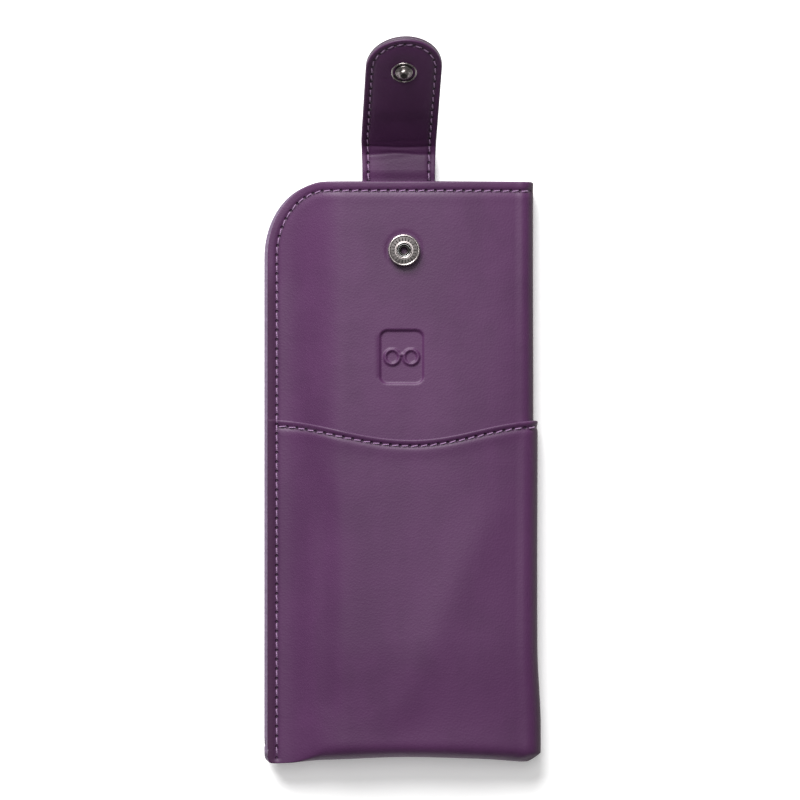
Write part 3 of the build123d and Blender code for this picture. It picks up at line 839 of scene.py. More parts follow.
def stitch_tree():
    """Sets one curved length of thread on each point, along its way and out along its up."""
    tree = bpy.data.node_groups.get("Stitches")
    if tree:
        return tree
    tree = bpy.data.node_groups.new("Stitches", "GeometryNodeTree")
    face = tree.interface
    face.new_socket("Geometry", in_out="INPUT", socket_type="NodeSocketGeometry")
    for name in ("Stitch length", "Thread width", "Rise", "Dip", "Unevenness", "Slant"):
        face.new_socket(name, in_out="INPUT", socket_type="NodeSocketFloat")
    face.new_socket("Seed", in_out="INPUT", socket_type="NodeSocketInt")
    face.new_socket("Material", in_out="INPUT", socket_type="NodeSocketMaterial")
    face.new_socket("Geometry", in_out="OUTPUT", socket_type="NodeSocketGeometry")
    given = add(tree, "NodeGroupInput").outputs
    half = times(tree, given["Stitch length"], 0.5)
    dip = times(tree, given["Dip"], -1.0)
    start, end = vector(tree, X=times(tree, half, -1.0), Z=dip), vector(tree, X=half, Z=dip)
    handle = times(tree, given["Stitch length"], 0.34)
    rise = times(tree, given["Rise"], 1.45)
    lift_a, lift_b = vector(tree, X=times(tree, handle, -1.0), Z=rise), vector(tree, X=handle, Z=rise)
    arch = add(tree, "GeometryNodeCurvePrimitiveBezierSegment",
               {"Resolution": 7, "Start": start, "Start Handle": lift_a, "End Handle": lift_b, "End": end},
               mode="POSITION")
    along = add(tree, "GeometryNodeSplineParameter").outputs["Factor"]
    arch = add(tree, "GeometryNodeStoreNamedAttribute",
               {"Geometry": arch.outputs[0], "Name": "ply_along", "Value": along}, domain="POINT")
    ring = add(tree, "GeometryNodeCurvePrimitiveCircle",
               {"Resolution": 7, "Radius": times(tree, given["Thread width"], 0.5)})
    ring = add(tree, "GeometryNodeStoreNamedAttribute",
               {"Geometry": ring.outputs[0], "Name": "ply_turn", "Value": along}, domain="POINT")
    strand = add(tree, "GeometryNodeCurveToMesh",
                 {"Curve": arch.outputs[0], "Profile Curve": ring.outputs[0], "Fill Caps": True})
    up = add(tree, "GeometryNodeInputNamedAttribute", {"Name": "up"}, data_type="FLOAT_VECTOR").outputs[0]
    way = add(tree, "GeometryNodeInputNamedAttribute", {"Name": "way"}, data_type="FLOAT_VECTOR").outputs[0]
    facing = add(tree, "FunctionNodeAlignRotationToVector", {"Vector": up}, axis="Z")
    facing = add(tree, "FunctionNodeAlignRotationToVector",
                 {"Rotation": facing.outputs[0], "Vector": way}, axis="X", pivot_axis="Z")
    swing = times(tree, given["Unevenness"], -1.0)
    yaw = add(tree, "FunctionNodeRandomValue", {"Seed": given["Seed"]}, data_type="FLOAT")
    for socket_name, value in (("Min", swing), ("Max", given["Unevenness"])):
        for socket in yaw.inputs:
            if socket.name == socket_name and socket.type == "VALUE":
                tree.links.new(value, socket)
    amount = next(socket for socket in yaw.outputs if socket.type == "VALUE")
    amount = plus(tree, amount, given["Slant"])
    turn = add(tree, "FunctionNodeEulerToRotation", {0: vector(tree, Z=amount)})
    facing = add(tree, "FunctionNodeRotateRotation",
                 {"Rotation": facing.outputs[0], "Rotate By": turn.outputs[0]}, rotation_space="LOCAL")
    set_out = add(tree, "GeometryNodeInstanceOnPoints",
                  {"Points": given["Geometry"], "Instance": strand.outputs[0], "Rotation": facing.outputs[0]})
    real = add(tree, "GeometryNodeRealizeInstances", {"Geometry": set_out.outputs[0]})
    smooth = add(tree, "GeometryNodeSetShadeSmooth", {"Geometry": real.outputs[0]})
    done = add(tree, "GeometryNodeSetMaterial",
               {"Geometry": smooth.outputs[0], "Material": given["Material"]})
    add(tree, "NodeGroupOutput", {"Geometry": done.outputs[0]})
    return tree


def laid_stitches(name, spots, ways, ups, finish, **sizes):
    """A plain mesh with a stitch, or another short strand, at each spot. Sizes are in millimetres."""
    mesh = bpy.data.meshes.new(name + "_spots")
    mesh.from_pydata((np.asarray(spots) * MM).tolist(), [], [])
    store(mesh, "way", ways)
    store(mesh, "up", ups)
    carrier = new_object(name + "_spots", mesh)
    modifier = carrier.modifiers.new("Stitches", "NODES")
    modifier.node_group = stitch_tree()
    s = settings()
    values = {"Stitch length": in_mm(s.stitch), "Thread width": in_mm(s.thread), "Rise": 0.20,
              "Dip": THREAD_DIP, "Unevenness": UNEVENNESS, "Slant": s.slant, "Seed": s.seed,
              "Material": material(finish)}
    values.update(sizes)
    for key in ("Stitch length", "Thread width", "Rise", "Dip"):
        values[key] *= MM
    for item in modifier.node_group.interface.items_tree:
        if item.item_type == "SOCKET" and item.in_out == "INPUT" and item.name in values:
            modifier[item.identifier] = values[item.name]
    bpy.context.view_layer.update()
    graph = bpy.context.evaluated_depsgraph_get()
    plain = bpy.data.meshes.new_from_object(carrier.evaluated_get(graph))
    plain.name = name
    if plain.materials[0] is None:
        plain.materials.pop(index=0)
    bpy.data.objects.remove(carrier)
    return new_object(name, plain)


def seen_stitches(line, point, keep, depth):
    """Spots, ways and ups of a line's stitches on one face, where keep accepts their plan point."""
    spots, ways, ups = [], [], []
    share = line.along[-1] / line.count
    for i in range(line.count):
        x, y = line.at((i + 0.5) * share)
        if not keep(x, y):
            continue
        lift = depth(x, y)
        here, up = point(x, y, lift)
        ahead, _ = point(*line.at((i + 0.6) * share), lift)
        behind, _ = point(*line.at((i + 0.4) * share), lift)
        spots.append(here)
        ways.append((ahead - behind) / np.linalg.norm(ahead - behind))
        ups.append(up)
    return spots, ways, ups


# ---- the strap ----

STRAP_OUTER = 1.2
STRAP_INNER = 1.0
STRAP_LEAN = 1.5
STRAP_TIP = 12.1
BEND_REACH = (2.6, 1.7, 1.7, 2.6)
CREASES = [k * SEGMENT for k in range(4)]


def headings():
    """The strap's heading before and after each hinge at rest, from the hinges' places."""
    angles = [0.0]
    for a, b in zip(HINGES, HINGES[1:]):
        angles.append(float(np.arctan2(b[1] - a[1], b[0] - a[0])))
    return angles + [angles[-1]]


HEADINGS = headings()


def stud_reach():
    """How far along the strap, from its first hinge, the stud sits."""
    low, high = box_mm("snap_cap")
    centre = ((low + high) / 2)[1:]
    direction = np.array([cos(HEADINGS[-1]), sin(HEADINGS[-1])])
    return CREASES[-1] + float((centre - HINGES[-1]) @ direction)


STITCH_ROOT = -0.4
STUD_U = stud_reach()
TIP_U = STUD_U + STRAP_TIP
SHOULDER_U = TIP_U - STRAP_HALF


def lean(u):
    start = CREASES[2]
    return STRAP_LEAN * np.maximum(0.0, u - start) / (STUD_U - start)


def resting_path():
    """The strap's line at rest: it lies flat, then turns up in two creases close together.

    Gives each corner's distance along the line, its place and its headings, and the line's length
    from the second hinge to the third."""
    before, after = HEADINGS[1], HEADINGS[-1]
    last = HINGES[-1]
    meet = np.array([last[0] - (last[1] - HINGES[1][1]) / tan(after), HINGES[1][1]])
    half = (after - before) / 2
    first = meet - CREASE_GAP * np.array([cos(before), sin(before)])
    second = meet + CREASE_GAP * np.array([cos(after), sin(after)])
    rise = np.array([cos(after), sin(after)])
    at_first = CREASES[1] + first[0] - HINGES[1][0]
    between = 2 * CREASE_GAP * cos(half)
    to_third = float((HINGES[2] - second) @ rise)
    corners = [(at_first, first, before, before + half),
               (at_first + between, second, before + half, after)]
    return corners, at_first + between + to_third - CREASES[1]


CREASE_GAP = 1.4
CREASE_REACH = 1.0
CORNERS, FOLDED_LENGTH = resting_path()


def bent(x, u, n):
    """Where a point of the flat strap lies at rest.

    x runs across, u along from the first hinge and n out of the inner face."""
    u = np.asarray(u, float)
    s = np.interp(u, CREASES[1:3], [CREASES[1], CREASES[1] + FOLDED_LENGTH])
    s = s + np.minimum(u - CREASES[1], 0) + np.maximum(u - CREASES[2], 0)
    y, z, angle = HINGES[0][0] + s, HINGES[0][1] + 0 * s, 0 * s
    for start, place, before, after in CORNERS:
        past = s - start
        y = np.where(past > 0, place[0] + past * cos(after), y)
        z = np.where(past > 0, place[1] + past * sin(after), z)
        angle = np.where(past > 0, after, angle)
        radius = CREASE_REACH / tan((after - before) / 2)
        share = (past + CREASE_REACH) / (2 * CREASE_REACH)
        inside = (share > 0) & (share < 1)
        heading = before + (after - before) * share
        centre_y = place[0] - CREASE_REACH * cos(before) - radius * sin(before)
        centre_z = place[1] - CREASE_REACH * sin(before) + radius * cos(before)
        y = np.where(inside, centre_y + radius * np.sin(heading), y)
        z = np.where(inside, centre_z - radius * np.cos(heading), z)
        angle = np.where(inside, heading, angle)
    return np.stack(np.broadcast_arrays(x, y - n * np.sin(angle), z + n * np.cos(angle)), axis=-1)


ZONE_ENDS = [-1e3] + [c + SEGMENT / 2 for c in CREASES[:3]] + [1e3]


def strap_columns(start):
    """Plan points round the strap's edge from one side of the root to the other: (kind, u or turn)."""
    bounds = [start, ZONE_ENDS[1], CREASES[1], ZONE_ENDS[2], CREASES[2], ZONE_ENDS[3], SHOULDER_U]
    side = steps(*[(a, b, 0.33 if 6 < a < 13 else 0.62) for a, b in zip(bounds, bounds[1:])])
    arc = np.linspace(pi, 0, 56)[1:-1]
    return [(-1, u) for u in side] + [(0, a) for a in arc] + [(1, u) for u in reversed(side)]


def swell(u):
    """The flap is cut a little wider than the root."""
    return 0.029 * ease((u - 3) / 12)


def strap_plan(kind, value, inset):
    """Plan x and u of a point that lies inset inside the strap's edge."""
    half = (STRAP_HALF - inset) * (1 + swell(value if kind else SHOULDER_U))
    if kind:
        return kind * half + lean(value), value
    return lean(SHOULDER_U + half * sin(value)) + half * cos(value), SHOULDER_U + half * sin(value)


def strap_crown(u, inset):
    """The strap's faces swell a little between the stitches, over the stiffener."""
    return 0.32 * ease((inset - STRAP_INSET) / 4) * ease((u - CREASES[3] - 1) / 6)


def strap_layer(name, start, low, high, sign, materials, bodies_nodes):
    """One leather layer of the strap, in one piece for each hinge. sign is which way its seen face looks."""
    columns = strap_columns(start)
    insets = [0.0, 0.08, 0.2, 0.42, 0.75, 1.2, 1.55, 1.9, 2.25, 2.7, 3.4, 4.6, 6.2, 8.0, 9.6, STRAP_HALF]
    plan = np.array([[strap_plan(kind, value, e) for e in insets] for kind, value in columns])
    x, u = plan[..., 0], plan[..., 1]
    inset = np.broadcast_to(np.array(insets)[None, :], x.shape)
    stitched_u = u > STITCH_ROOT - 0.3
    dent = 0.34 * np.exp(-((inset - STRAP_INSET) / 0.6) ** 2) * stitched_u
    away = np.hypot(x - SNAP_X, u - STUD_U)
    press = 0.3 * np.exp(-((away - 4.15) / 0.35) ** 2) + 0.2 * np.exp(-(away / 6) ** 2)
    wrinkles = sum(d * np.exp(-((u - at - w * np.sin(x / f + at)) / r) ** 2) for at, d, r, w, f in WRINKLES)
    press = press + wrinkles * (0.35 + 0.65 * (sign > 0)) * ease(inset / 2.5)
    thick = high - low
    skive = 1 - 0.6 * (1 - ease((u - start) / 3.5)) * (sign > 0)
    seen = thick * skive - round_edge(inset, 0.42) - dent - press + strap_crown(u, inset)
    hidden = round_edge(inset, 0.1)
    if sign > 0:
        faces_n = (low + seen, low + hidden)
    else:
        faces_n = (high - seen, high - hidden)
    outer, inner = (bent(x, u, n) for n in faces_n)
    wide, long = x.shape
    faces, slots = shell_faces(wide, long, closed=True)
    mid_u = np.tile(u.ravel(), 2)
    line_across = np.abs(inset - STRAP_INSET)
    path = strap_path()
    along, _ = path.nearest(x.ravel(), u.ravel())
    points = np.concatenate([outer.reshape(-1, 3), inner.reshape(-1, 3)])
    made = []
    for zone in range(4):
        mine = []
        for face, slot in zip(faces, slots):
            centre = sum(mid_u[list(face)]) / len(face)
            if ZONE_ENDS[zone] < centre <= ZONE_ENDS[zone + 1]:
                mine.append((face, slot))
        if not mine:
            continue
        mesh = make_mesh(f"{name}_{zone + 1}", points, [m[0] for m in mine], [m[1] for m in mine])
        set_stitch(mesh, along, np.where(stitched_u, line_across, UNSTITCHED).ravel())
        close_zone(mesh)
        piece = new_object(f"{name}_{zone + 1}", mesh, materials)
        join_bodies(piece, zone)
        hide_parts(*bodies_nodes[zone])
        made.append(piece)
    return made


# Creases across the strap: place along it, depth, width, waver and the waver's length.
WRINKLES = [(8.15, 0.15, 0.5, 0.35, 2.6), (10.7, 0.16, 0.5, 0.3, 3.4), (9.4, -0.05, 0.7, 0.4, 2.9),
            (6.6, 0.05, 0.6, 0.5, 4.0), (12.9, 0.05, 0.6, 0.4, 3.1)]


def close_zone(mesh):
    """Drops unused points, welds the middle, closes the cut ends and keeps their rims sharp."""
    shape = bmesh.new()
    shape.from_mesh(mesh)
    bmesh.ops.delete(shape, geom=[v for v in shape.verts if not v.link_faces], context="VERTS")
    bmesh.ops.remove_doubles(shape, verts=shape.verts, dist=2e-6)
    bmesh.ops.dissolve_degenerate(shape, edges=shape.edges, dist=1e-7)
    open_edges = [e for e in shape.edges if len(e.link_faces) == 1]
    if open_edges:
        filled = bmesh.ops.holes_fill(shape, edges=open_edges, sides=0)
        for face in filled["faces"]:
            face.smooth = False
            for edge in face.edges:
                edge.smooth = False
    bmesh.ops.recalc_face_normals(shape, faces=shape.faces)
    for edge in shape.edges:
        if len(edge.link_faces) == 2 and edge.calc_face_angle(0.0) > radians(50):
            edge.smooth = False
    shape.to_mesh(mesh)
    shape.free()


def join_bodies(piece, zone):
    """Bakes a piece of the strap's place into its mesh. The two ends of its hinge are worked out but not
    used, so the piece is not bent between the bodies.
    """
    start, end = (bent(0.0, CREASES[zone] + side * BEND_REACH[zone], 0.0) * MM for side in (-1, 1))
    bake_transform(piece)




def strap_path():
    """The strap's row of stitches in its own plan."""
    side = np.linspace(STITCH_ROOT, SHOULDER_U, 30)
    points = [strap_plan(-1, u, STRAP_INSET) for u in side]
    points += [strap_plan(0, a, STRAP_INSET) for a in np.linspace(pi, 0, 60)[1:-1]]
    return StitchLine(points + [strap_plan(1, u, STRAP_INSET) for u in side[::-1]])


def strap_threads():
    """The strap's stitches on both faces, in one piece for each hinge."""
    line = strap_path()
    share = line.along[-1] / line.count
    zones = {k: ([], [], []) for k in range(4)}
    for i in range(line.count):
        x, u = line.at((i + 0.5) * share)
        (xa, ua), (xb, ub) = line.at((i + 0.4) * share), line.at((i + 0.6) * share)
        zone = next(k for k in range(4) if u <= ZONE_ENDS[k + 1])
        for n, side in ((STRAP_INNER - 0.3, 1), (-STRAP_OUTER + 0.3, -1)):
            here, out = bent(x, u, n), bent(x, u, n + side)
            way = bent(xb, ub, n) - bent(xa, ua, n)
            for kept, value in zip(zones[zone], (here, way / np.linalg.norm(way), out - here)):
                kept.append(value)
    names = ["strap_thread_bend_1", "strap_thread_bend_2", "strap_thread_bend_3", "strap_thread_flap"]
    for zone, (spots, ways, ups) in zones.items():
        piece = laid_stitches(f"strap_stitches_{zone + 1}", spots, ways, ups, "sewing_thread")
        join_bodies(piece, zone)
        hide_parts(names[zone])


# ---- operators ----

class CASE_OT_shell(bpy.types.Operator):
    """Makes the outer leather: front, fold and back in one piece"""
    bl_idname = "glasses_case.shell"
    bl_label = "Outer leather"

    def execute(self, context):
        s = settings()
        line = border_line()

        def outer(x, y, edge, kind):
            detail = np.where(kind == 0, soft_folds(x, y) + mark_depth(x, y) + snap_dimple(x, y),
                              BACK_FOLDS * soft_folds(x, y))
            return detail + line_depth(line, x, y) + round_edge(edge, 0.5)

        def inner(x, y, edge, kind):
            return in_mm(s.leather) - 0.02 - round_edge(edge, 0.2)

        piece = pouch_piece("outer_leather", Pouch().layer(outer, inner),
                            ("case_leather", "cut_edge", "flesh_side"), [line])
        finish_piece(piece, "case", "outer_leather", "shell_leather")
        return {"FINISHED"}


class CASE_OT_interlining(bpy.types.Operator):
    """Makes the thin foam between the leather and the lining"""
    bl_idname = "glasses_case.interlining"
    bl_label = "Foam interlining"

    def execute(self, context):
        s = settings()
        leather, foam = in_mm(s.leather), in_mm(s.foam)

        def outer(x, y, edge, kind):
            return leather + 0.02 + 0 * x

        def inner(x, y, edge, kind):
            return leather + 0.06 + (foam - 0.1) * padding(x, y, edge) * (1 - strap_room(x, y, kind))

        grids = Pouch(2.2, inset=1.6, drop=0.8).layer(outer, inner)
        piece = pouch_piece("foam_interlining", grids, ("foam_sheet",) * 3, [])
        finish_piece(piece, "case", "foam", "shell_foam")
        return {"FINISHED"}


class CASE_OT_lining(bpy.types.Operator):
    """Makes the woven lining"""
    bl_idname = "glasses_case.lining"
    bl_label = "Lining"

    def execute(self, context):
        s = settings()
        leather, foam, cloth = in_mm(s.leather), in_mm(s.foam), in_mm(s.lining)

        def full(x, y, edge, kind):
            return np.maximum(padding(x, y, edge), strap_room(x, y, kind))

        def outer(x, y, edge, kind):
            return leather + 0.08 + (foam - 0.04) * full(x, y, edge, kind) + round_edge(edge, 0.15)

        def inner(x, y, edge, kind):
            ripple = 0.05 * np.sin(x / 3.1) * np.sin(y / 7.3) * padding(x, y, edge)
            return leather + cloth - 0.02 + (foam + 0.04) * full(x, y, edge, kind) + ripple

        grids = Pouch(1.8, inset=1.4, drop=0.4).layer(outer, inner)
        piece = pouch_piece("lining", grids, ("lining_cloth",) * 3, [])
        finish_piece(piece, "case", "lining", "shell_lining")
        return {"FINISHED"}


class CASE_OT_pocket(bpy.types.Operator):
    """Makes the wrap-round slip pocket with its scooped edge"""
    bl_idname = "glasses_case.pocket"
    bl_label = "Slip pocket"

    def execute(self, context):
        s = settings()
        border, scoop = border_line(), scoop_line()
        start = POCKET_LEVEL_Y

        def rows(x, y):
            return np.where(y > start, start + (y - start) * (scoop_y(x) - start) / (MOUTH_Y - start), y)

        def folds(x, y, kind):
            return np.where(kind == 0, 1.0, BACK_FOLDS) * soft_folds(x, y)

        def flare(x, y, kind):
            """How far the scooped edge stands off the front."""
            near_hem = np.exp(-((scoop_y(x) - y) / 4) ** 2)
            return POCKET_FLARE * near_hem * ease((x - RISE_START) / 12) * (kind == 0)

        def outer(x, y, edge, kind):
            left = np.where(kind == 0, FRONT_EDGE, BACK_EDGE)
            side = np.where(kind == 1, 99.0, x - left)
            stitches = line_depth(border, x, y) + line_depth(scoop, x, y)
            rim = round_edge(np.minimum(scoop_y(x) - y, side), 0.5)
            return folds(x, y, kind) + stitches + rim - POCKET_GAP - in_mm(s.leather) - flare(x, y, kind)

        def inner(x, y, edge, kind):
            rim = round_edge(scoop_y(x) - y, 0.15)
            return folds(x, y, kind) - POCKET_GAP - flare(x, y, kind) - rim

        grids = PocketGrid().layer(outer, inner, rows)
        piece = pouch_piece("slip_pocket", grids, ("case_leather", "cut_edge", "flesh_side"), [border, scoop])
        finish_piece(piece, "case", "outer_leather", "pocket_wrap")
        return {"FINISHED"}


class PocketGrid(Pouch):
    """The pouch's grid with its rows spaced for the pocket, which has its details at its top edge."""

    def __init__(self):
        front = [FRONT_EDGE + e for e in EDGE_STEPS]
        front += steps((FRONT_EDGE + 1.1, RISE_START + 1, 0.45), (RISE_START + 1, FLAT_END, 1.1),
                       (FLAT_END, FLAT_END + CROWN_RUN, 1.2))
        turn = np.linspace(pi / 2 - CROWN_FALL, -pi / 2, 26)[1:-1]
        back = steps((FOLD_CENTRE, RISE_START, 1.6), (RISE_START, BACK_EDGE + 1.1, 0.5))
        back += [BACK_EDGE + e for e in reversed(EDGE_STEPS)]
        start, top = POCKET_LEVEL_Y, MOUTH_Y
        stretch = (top - start) / (SCOOP["low"] + 3 - start)
        body = steps((NOSE_Y, start, 1.1), (start, top - 5.0 * stretch, 1.2 * stretch),
                     (top - 5.0 * stretch, top - 1.1 * stretch, 0.4 * stretch))
        self.set_grid(front, turn, back, body + [top - e * stretch for e in reversed(EDGE_STEPS)])

    def plan(self):
        x, y, left = super().plan()
        kind, base = self.kind[:, None], self.base[:, None]
        x = np.where(kind == 1, x, np.broadcast_to(base, x.shape))
        return x, y, left


class CASE_OT_threads(bpy.types.Operator):
    """Sews the side seam, the mouth's hem, the pocket's hem and the strap's anchor"""
    bl_idname = "glasses_case.threads"
    bl_label = "Pouch stitching"

    def execute(self, context):
        border, scoop = border_line(), scoop_line()
        pocket_lift = POCKET_GAP + in_mm(settings().leather)

        def depth(x, y, share=1.0):
            lift = pocket_lift if y < scoop_y(x) else 0.0
            return 0.34 + share * float(soft_folds(np.array(x), np.array(y))) - lift

        def back_depth(x, y):
            return depth(x, y, 0.4)

        def sew(name, node, parts):
            spots, ways, ups = (sum((part[k] for part in parts), []) for k in range(3))
            piece = laid_stitches(name, spots, ways, ups, "sewing_thread")
            finish_piece(piece, "case", "thread", node)

        low, high = (lambda x, y: y < SEAM_END_Y), (lambda x, y: y >= SEAM_END_Y)
        sew("side_seam_stitches", "side_seam_thread",
            [seen_stitches(border, front_point, low, depth),
             seen_stitches(border, back_point, low, back_depth)])
        sew("mouth_hem_stitches", "mouth_hem_thread",
            [seen_stitches(border, front_point, high, depth),
             seen_stitches(border, back_point, lambda x, y: y >= SEAM_END_Y and x < FOLD_CENTRE, back_depth)])

        def hem_depth(x, y):
            return depth(x, y) - 0.28

        sew("pocket_hem_stitches", "pocket_hem_thread",
            [seen_stitches(scoop, front_point, lambda x, y: True, hem_depth),
             seen_stitches(scoop, back_point, lambda x, y: x < FOLD_CENTRE, back_depth)])
        half = STRAP_HALF - STRAP_INSET
        root = ROOT_LOW[1] + 1.5
        box = StitchLine([(-half, MOUTH_Y - TOP_INSET - 1.4), (-half, root), (half, root),
                          (half, MOUTH_Y - TOP_INSET - 1.4)])
        sew("strap_anchor_stitches", "strap_anchor_thread",
            [seen_stitches(box, back_point, lambda x, y: True, lambda x, y: -0.02)])
        return {"FINISHED"}


class CASE_OT_strap(bpy.types.Operator):
    """Makes the strap's outer leather, its facing, its stiffener and its stitches"""
    bl_idname = "glasses_case.strap"
    bl_label = "Snap strap"

    def execute(self, context):
        root = -(HINGES[0][0] - ROOT_LOW[1])
        outer_nodes = [["strap_outer_root", "strap_outer_bend_1"], ["strap_outer_bend_2"],
                       ["strap_outer_bend_3"], ["strap_outer_flap"]]
        inner_nodes = [["strap_inner_bend_1"], ["strap_inner_bend_2"], ["strap_inner_bend_3"],
                       ["strap_inner_flap"]]
        materials = ("case_leather", "painted_edge", "flesh_side")
        for piece in strap_layer("strap_outer", root, -STRAP_OUTER, -0.01, -1, materials, outer_nodes):
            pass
        for piece in strap_layer("strap_facing", -0.4, 0.01, STRAP_INNER, 1, materials, inner_nodes):
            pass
        strap_threads()
        set_finish("strap_stiffener", "fibre_board")
        return {"FINISHED"}


def set_finish(node, name):
    """Gives a CAD node its material."""
    mesh = frame["nodes"][node].data
    mesh.materials.clear()
    mesh.materials.append(material(name))


class CASE_OT_snap(bpy.types.Operator):
    """Makes the snap: socket, eyelet, spring and washer on the front, and stud, post and cap on the strap"""
    bl_idname = "glasses_case.snap"
    bl_label = "Snap fastener"

    def execute(self, context):
        self.socket()
        self.eyelet()
        self.on_flap()
        set_finish("snap_socket_spring", "spring_wire")
        set_finish("snap_backing_washer", "washer_plastic")
        # The post takes the nickel's painted shade.
        set_finish("snap_cap_post", "nickel_painted_shade")
        return {"FINISHED"}

    def socket(self):
        """The socket's cup, with a rolled outer rim, a sunk band with short bars and a lip round its hole."""
        base = SOCKET_LOW[2]
        r = (SOCKET_HIGH[0] - SOCKET_LOW[0]) / 2
        h = SOCKET_HIGH[2] - base
        hole, bore = 2.0, 1.35
        rim = [(r - 0.42 + 0.36 * cos(a), h - 0.36 + 0.36 * sin(a)) for a in np.linspace(-0.5, pi * 0.9, 9)]
        lip = [(hole + 0.28 + 0.28 * cos(a), h - 0.28 + 0.28 * sin(a)) for a in np.linspace(0.35, pi, 8)]
        profile = [(bore, 0.02), (r - 0.5, 0.02), (r - 0.12, 0.3), (r - 0.06, 0.9)] + rim
        profile += [(r - 0.95, h - 0.22), (hole + 0.75, h - 0.2)] + lip
        profile += [(hole, h - 0.6), (hole + 0.35, h - 0.6), (hole + 0.4, h - 0.55), (r - 0.4, h - 0.55),
                    (r - 0.4, 0.35), (bore, 0.35)]
        # The sunk band and the inside of the cup take the nickel's painted shade.
        slots = [0] * (3 + len(rim)) + [2] * 2 + [0] * len(lip) + [1] * 7
        piece = revolved("snap_socket_cup", profile, (SNAP_X, SNAP_Y, base),
                         ("antique_nickel", "nickel_painted_shade", "sunk_band_painted_shade"), 96, slots)
        finish_piece(piece, "case", "nickel", "snap_socket")
        count, ring = 22, (hole + 0.55 + r - 0.8) / 2
        spots, ways, ups = [], [], []
        for k in range(count):
            a = 2 * pi * k / count
            spots.append((SNAP_X + ring * cos(a), SNAP_Y + ring * sin(a), base + h - 0.22))
            ways.append((cos(a), sin(a), 0))
            ups.append((0, 0, 1))
        # The bars take the nickel's painted shade.
        bars = laid_stitches("snap_socket_bars", spots, ways, ups, "nickel_painted_shade", Rise=0.02, Dip=0.04,
                             Unevenness=0.0, Slant=0.0, **{"Stitch length": 1.0, "Thread width": 0.3})
        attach(bars, "case")

    def eyelet(self):
        """The eyelet's tube, flared inside the socket, and its flange behind the front."""
        low, high = box_mm("snap_socket_eyelet")
        outer, inner = 1.3, 0.9
        top = high[2] - FRONT_Z
        flare = [(inner + 0.42 + 0.36 * cos(a), top - 0.3 + 0.3 * sin(a)) for a in np.linspace(0, pi, 9)]
        base = low[2] - FRONT_Z
        wide = (high[0] - low[0]) / 2
        profile = [(0.0005, base + 0.1), (wide - 0.15, base), (wide, base + 0.15), (wide - 0.1, base + 0.35),
                   (outer, base + 0.35), (outer, top - 0.42)] + flare
        profile += [(inner, base + 0.5), (0.0005, base + 0.45)]
        # The eyelet, down in the socket's hole, takes the nickel's painted shade.
        piece = revolved("snap_eyelet", profile, (SNAP_X, SNAP_Y, FRONT_Z), ("nickel_painted_shade",), 64)
        finish_piece(piece, "case", "nickel", "snap_socket_eyelet")

    def on_flap(self):
        """The stud on the strap's inner face and the domed cap on its outer face."""
        rim = [(3.62 + 0.24 * cos(a), 0.28 + 0.22 * sin(a)) for a in np.linspace(-0.4, pi * 0.95, 9)]
        base = [(2.4 + 0.2 * cos(a), 0.27 + 0.2 * sin(a)) for a in np.linspace(0.0, pi * 0.5, 5)]
        ball = [(1.22 + 0.42 * cos(a), 1.42 + 0.44 * sin(a)) for a in np.linspace(-1.1, 1.35, 10)]
        stud = [(0.7, 0.0), (3.7, 0.0)] + rim + [(3.3, 0.16), (2.7, 0.14)] + base
        stud += [(1.7, 0.55), (1.42, 0.7), (1.3, 0.95)] + ball + [(1.15, 1.9), (0.7, 1.9)]
        sunk = 2 + len(rim)
        # The groove inside the stud's rim takes the nickel's painted shade.
        slots = [0] * (sunk - 1) + [1] * 3 + [0] * (len(stud) - sunk - 2)
        self.turned_on_flap("snap_stud_ball", stud, STRAP_INNER, 1, "snap_stud", slots)
        radius, height, sheet = 6.2, 2.1, 0.35
        reach = (radius ** 2 + height ** 2) / (2 * height)
        limit = np.arcsin((radius - 0.35) / reach)
        dome = [(reach * sin(a), height - reach + reach * cos(a)) for a in np.linspace(0.0005, limit, 16)]
        curl = [(radius - 0.33 + 0.3 * cos(a), 0.32 + 0.3 * sin(a)) for a in np.linspace(0.9, -pi / 2, 7)]
        under = [(reach * sin(a), height - sheet - reach + reach * cos(a))
                 for a in np.linspace(limit * 0.9, 0.0005, 8)]
        self.turned_on_flap("snap_cap_dome", dome + curl + under, -STRAP_OUTER - 0.01, -1, "snap_cap")

    def turned_on_flap(self, name, profile, n, side, node, slots=None):
        """A turned piece that stands on one of the strap's faces at the stud."""
        piece = revolved(name, profile, (0, 0, 0), ("antique_nickel", "nickel_painted_shade"), 72, slots)
        mesh = piece.data
        local = np.array([v.co for v in mesh.vertices]) / MM
        out = bent(local[:, 0] + SNAP_X, STUD_U + local[:, 1], n + side * local[:, 2])
        mesh.vertices.foreach_set("co", (out * MM).astype(np.float32).ravel())
        mesh.update()
        tidy_mesh(mesh)
        finish_piece(piece, STRAP_BODIES[-1], "nickel", node)


# The floor in millimetres, and each light's name, place and width in metres and its power in watts.
FLOOR_HALF = 4000
FLOOR_Z = -0.02
LIGHTS = (("Key", (-0.38, 1.10, 0.96), 1.1, 45.0), ("Overhead", (0.0, 0.40, 1.75), 0.9, 8.0))


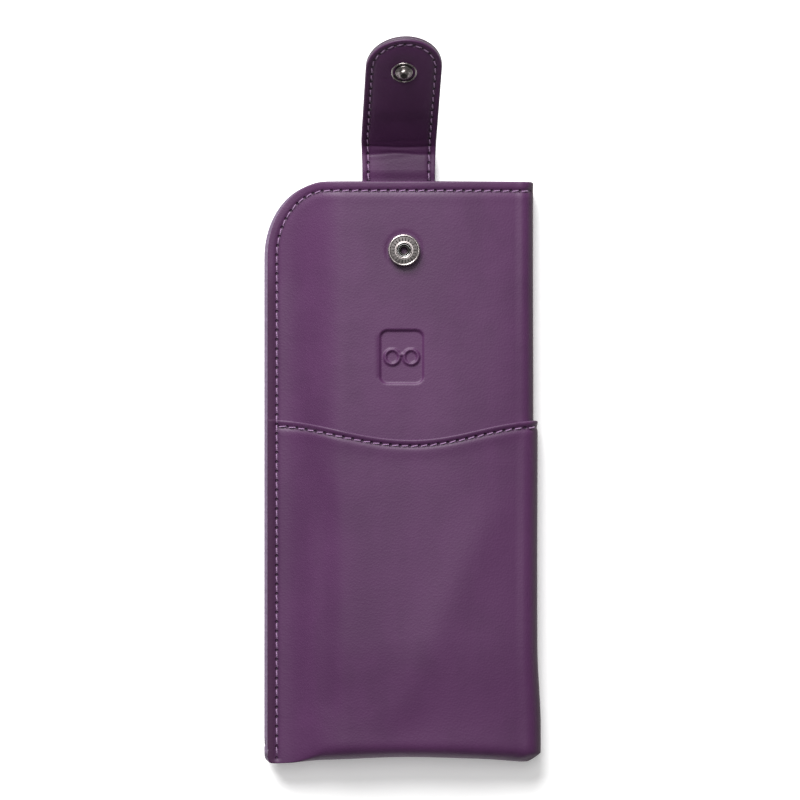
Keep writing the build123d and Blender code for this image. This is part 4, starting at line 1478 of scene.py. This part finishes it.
class CASE_OT_stage(bpy.types.Operator):
    """Sets out the floor, the lights, the world and the camera"""
    bl_idname = "glasses_case.stage"
    bl_label = "Stage"

    def execute(self, context):
        scene = context.scene
        scene.view_settings.view_transform = "Standard"
        self.floor()
        world = bpy.data.worlds.new("Studio")
        scene.world = world
        world.use_nodes = True
        background = world.node_tree.nodes["Background"]
        fill(world.node_tree, background, {"Color": (1.0, 0.985, 0.97, 1.0), "Strength": 0.15})
        for light in LIGHTS:
            self.light(*light)
        self.camera(scene)
        return {"FINISHED"}

    def floor(self):
        corners = [(x * FLOOR_HALF, y * FLOOR_HALF, FLOOR_Z) for x, y in ((-1, -1), (1, -1), (1, 1), (-1, 1))]
        mesh = make_mesh("floor", corners, [(0, 1, 2, 3)])
        floor = new_object("floor", mesh)
        finish, tree, shader, place = new_material("paper")
        paper = noise(tree, place, 300.0, 3.0, 0.6)
        base = blend_colours(tree, paper, (0.9, 0.9, 0.9), (0.93, 0.93, 0.93))
        fill(tree, shader, {"Base Color": base, "Roughness": 0.8, "Emission Color": (1.0, 1.0, 1.0, 1.0),
                            "Emission Strength": 0.28})
        mesh.materials.append(finish)

    def light(self, name, place, size, power):
        data = bpy.data.lights.new(name, "AREA")
        data.shape = "DISK"
        data.size = size
        data.energy = power
        lamp = new_object(name, data)
        lamp.location = place
        lamp.rotation_mode = "QUATERNION"
        lamp.rotation_quaternion = (Vector((0, 0.01, 0.01)) - lamp.location).to_track_quat("-Z", "Y")

    def camera(self, scene):
        """Straight above the case, far enough away that it hardly converges."""
        data = bpy.data.cameras.new("Camera")
        distance, view_wide = 1.3, 0.2412
        data.lens = data.sensor_width * distance / view_wide
        data.clip_end = 10.0
        camera = new_object("Camera", data)
        camera.location = (0.0004, 0.0218, FRONT_Z * MM + distance)
        scene.camera = camera


class CASE_PT_panel(bpy.types.Panel):
    bl_label = "Glasses Case"
    bl_idname = "CASE_PT_panel"
    bl_space_type = "VIEW_3D"
    bl_region_type = "UI"
    bl_category = "Glasses Case"

    def draw(self, context):
        for name in CaseSettings.__annotations__:
            self.layout.prop(context.scene.glasses_case, name)
        for operator in OPERATORS:
            self.layout.operator(operator.bl_idname)


OPERATORS = (CASE_OT_shell, CASE_OT_interlining, CASE_OT_lining, CASE_OT_pocket, CASE_OT_threads,
             CASE_OT_strap, CASE_OT_snap, CASE_OT_stage)
CLASSES = (CaseSettings, *OPERATORS, CASE_PT_panel)


def register():
    for entry in CLASSES:
        bpy.utils.register_class(entry)
    bpy.types.Scene.glasses_case = PointerProperty(type=CaseSettings)


def unregister():
    del bpy.types.Scene.glasses_case
    for entry in reversed(CLASSES):
        bpy.utils.unregister_class(entry)


def main():
    register()
    for name in ("shell", "interlining", "lining", "pocket", "threads", "strap", "snap", "stage"):
        getattr(bpy.ops.glasses_case, name)()


if __name__ == "__main__":
    main()
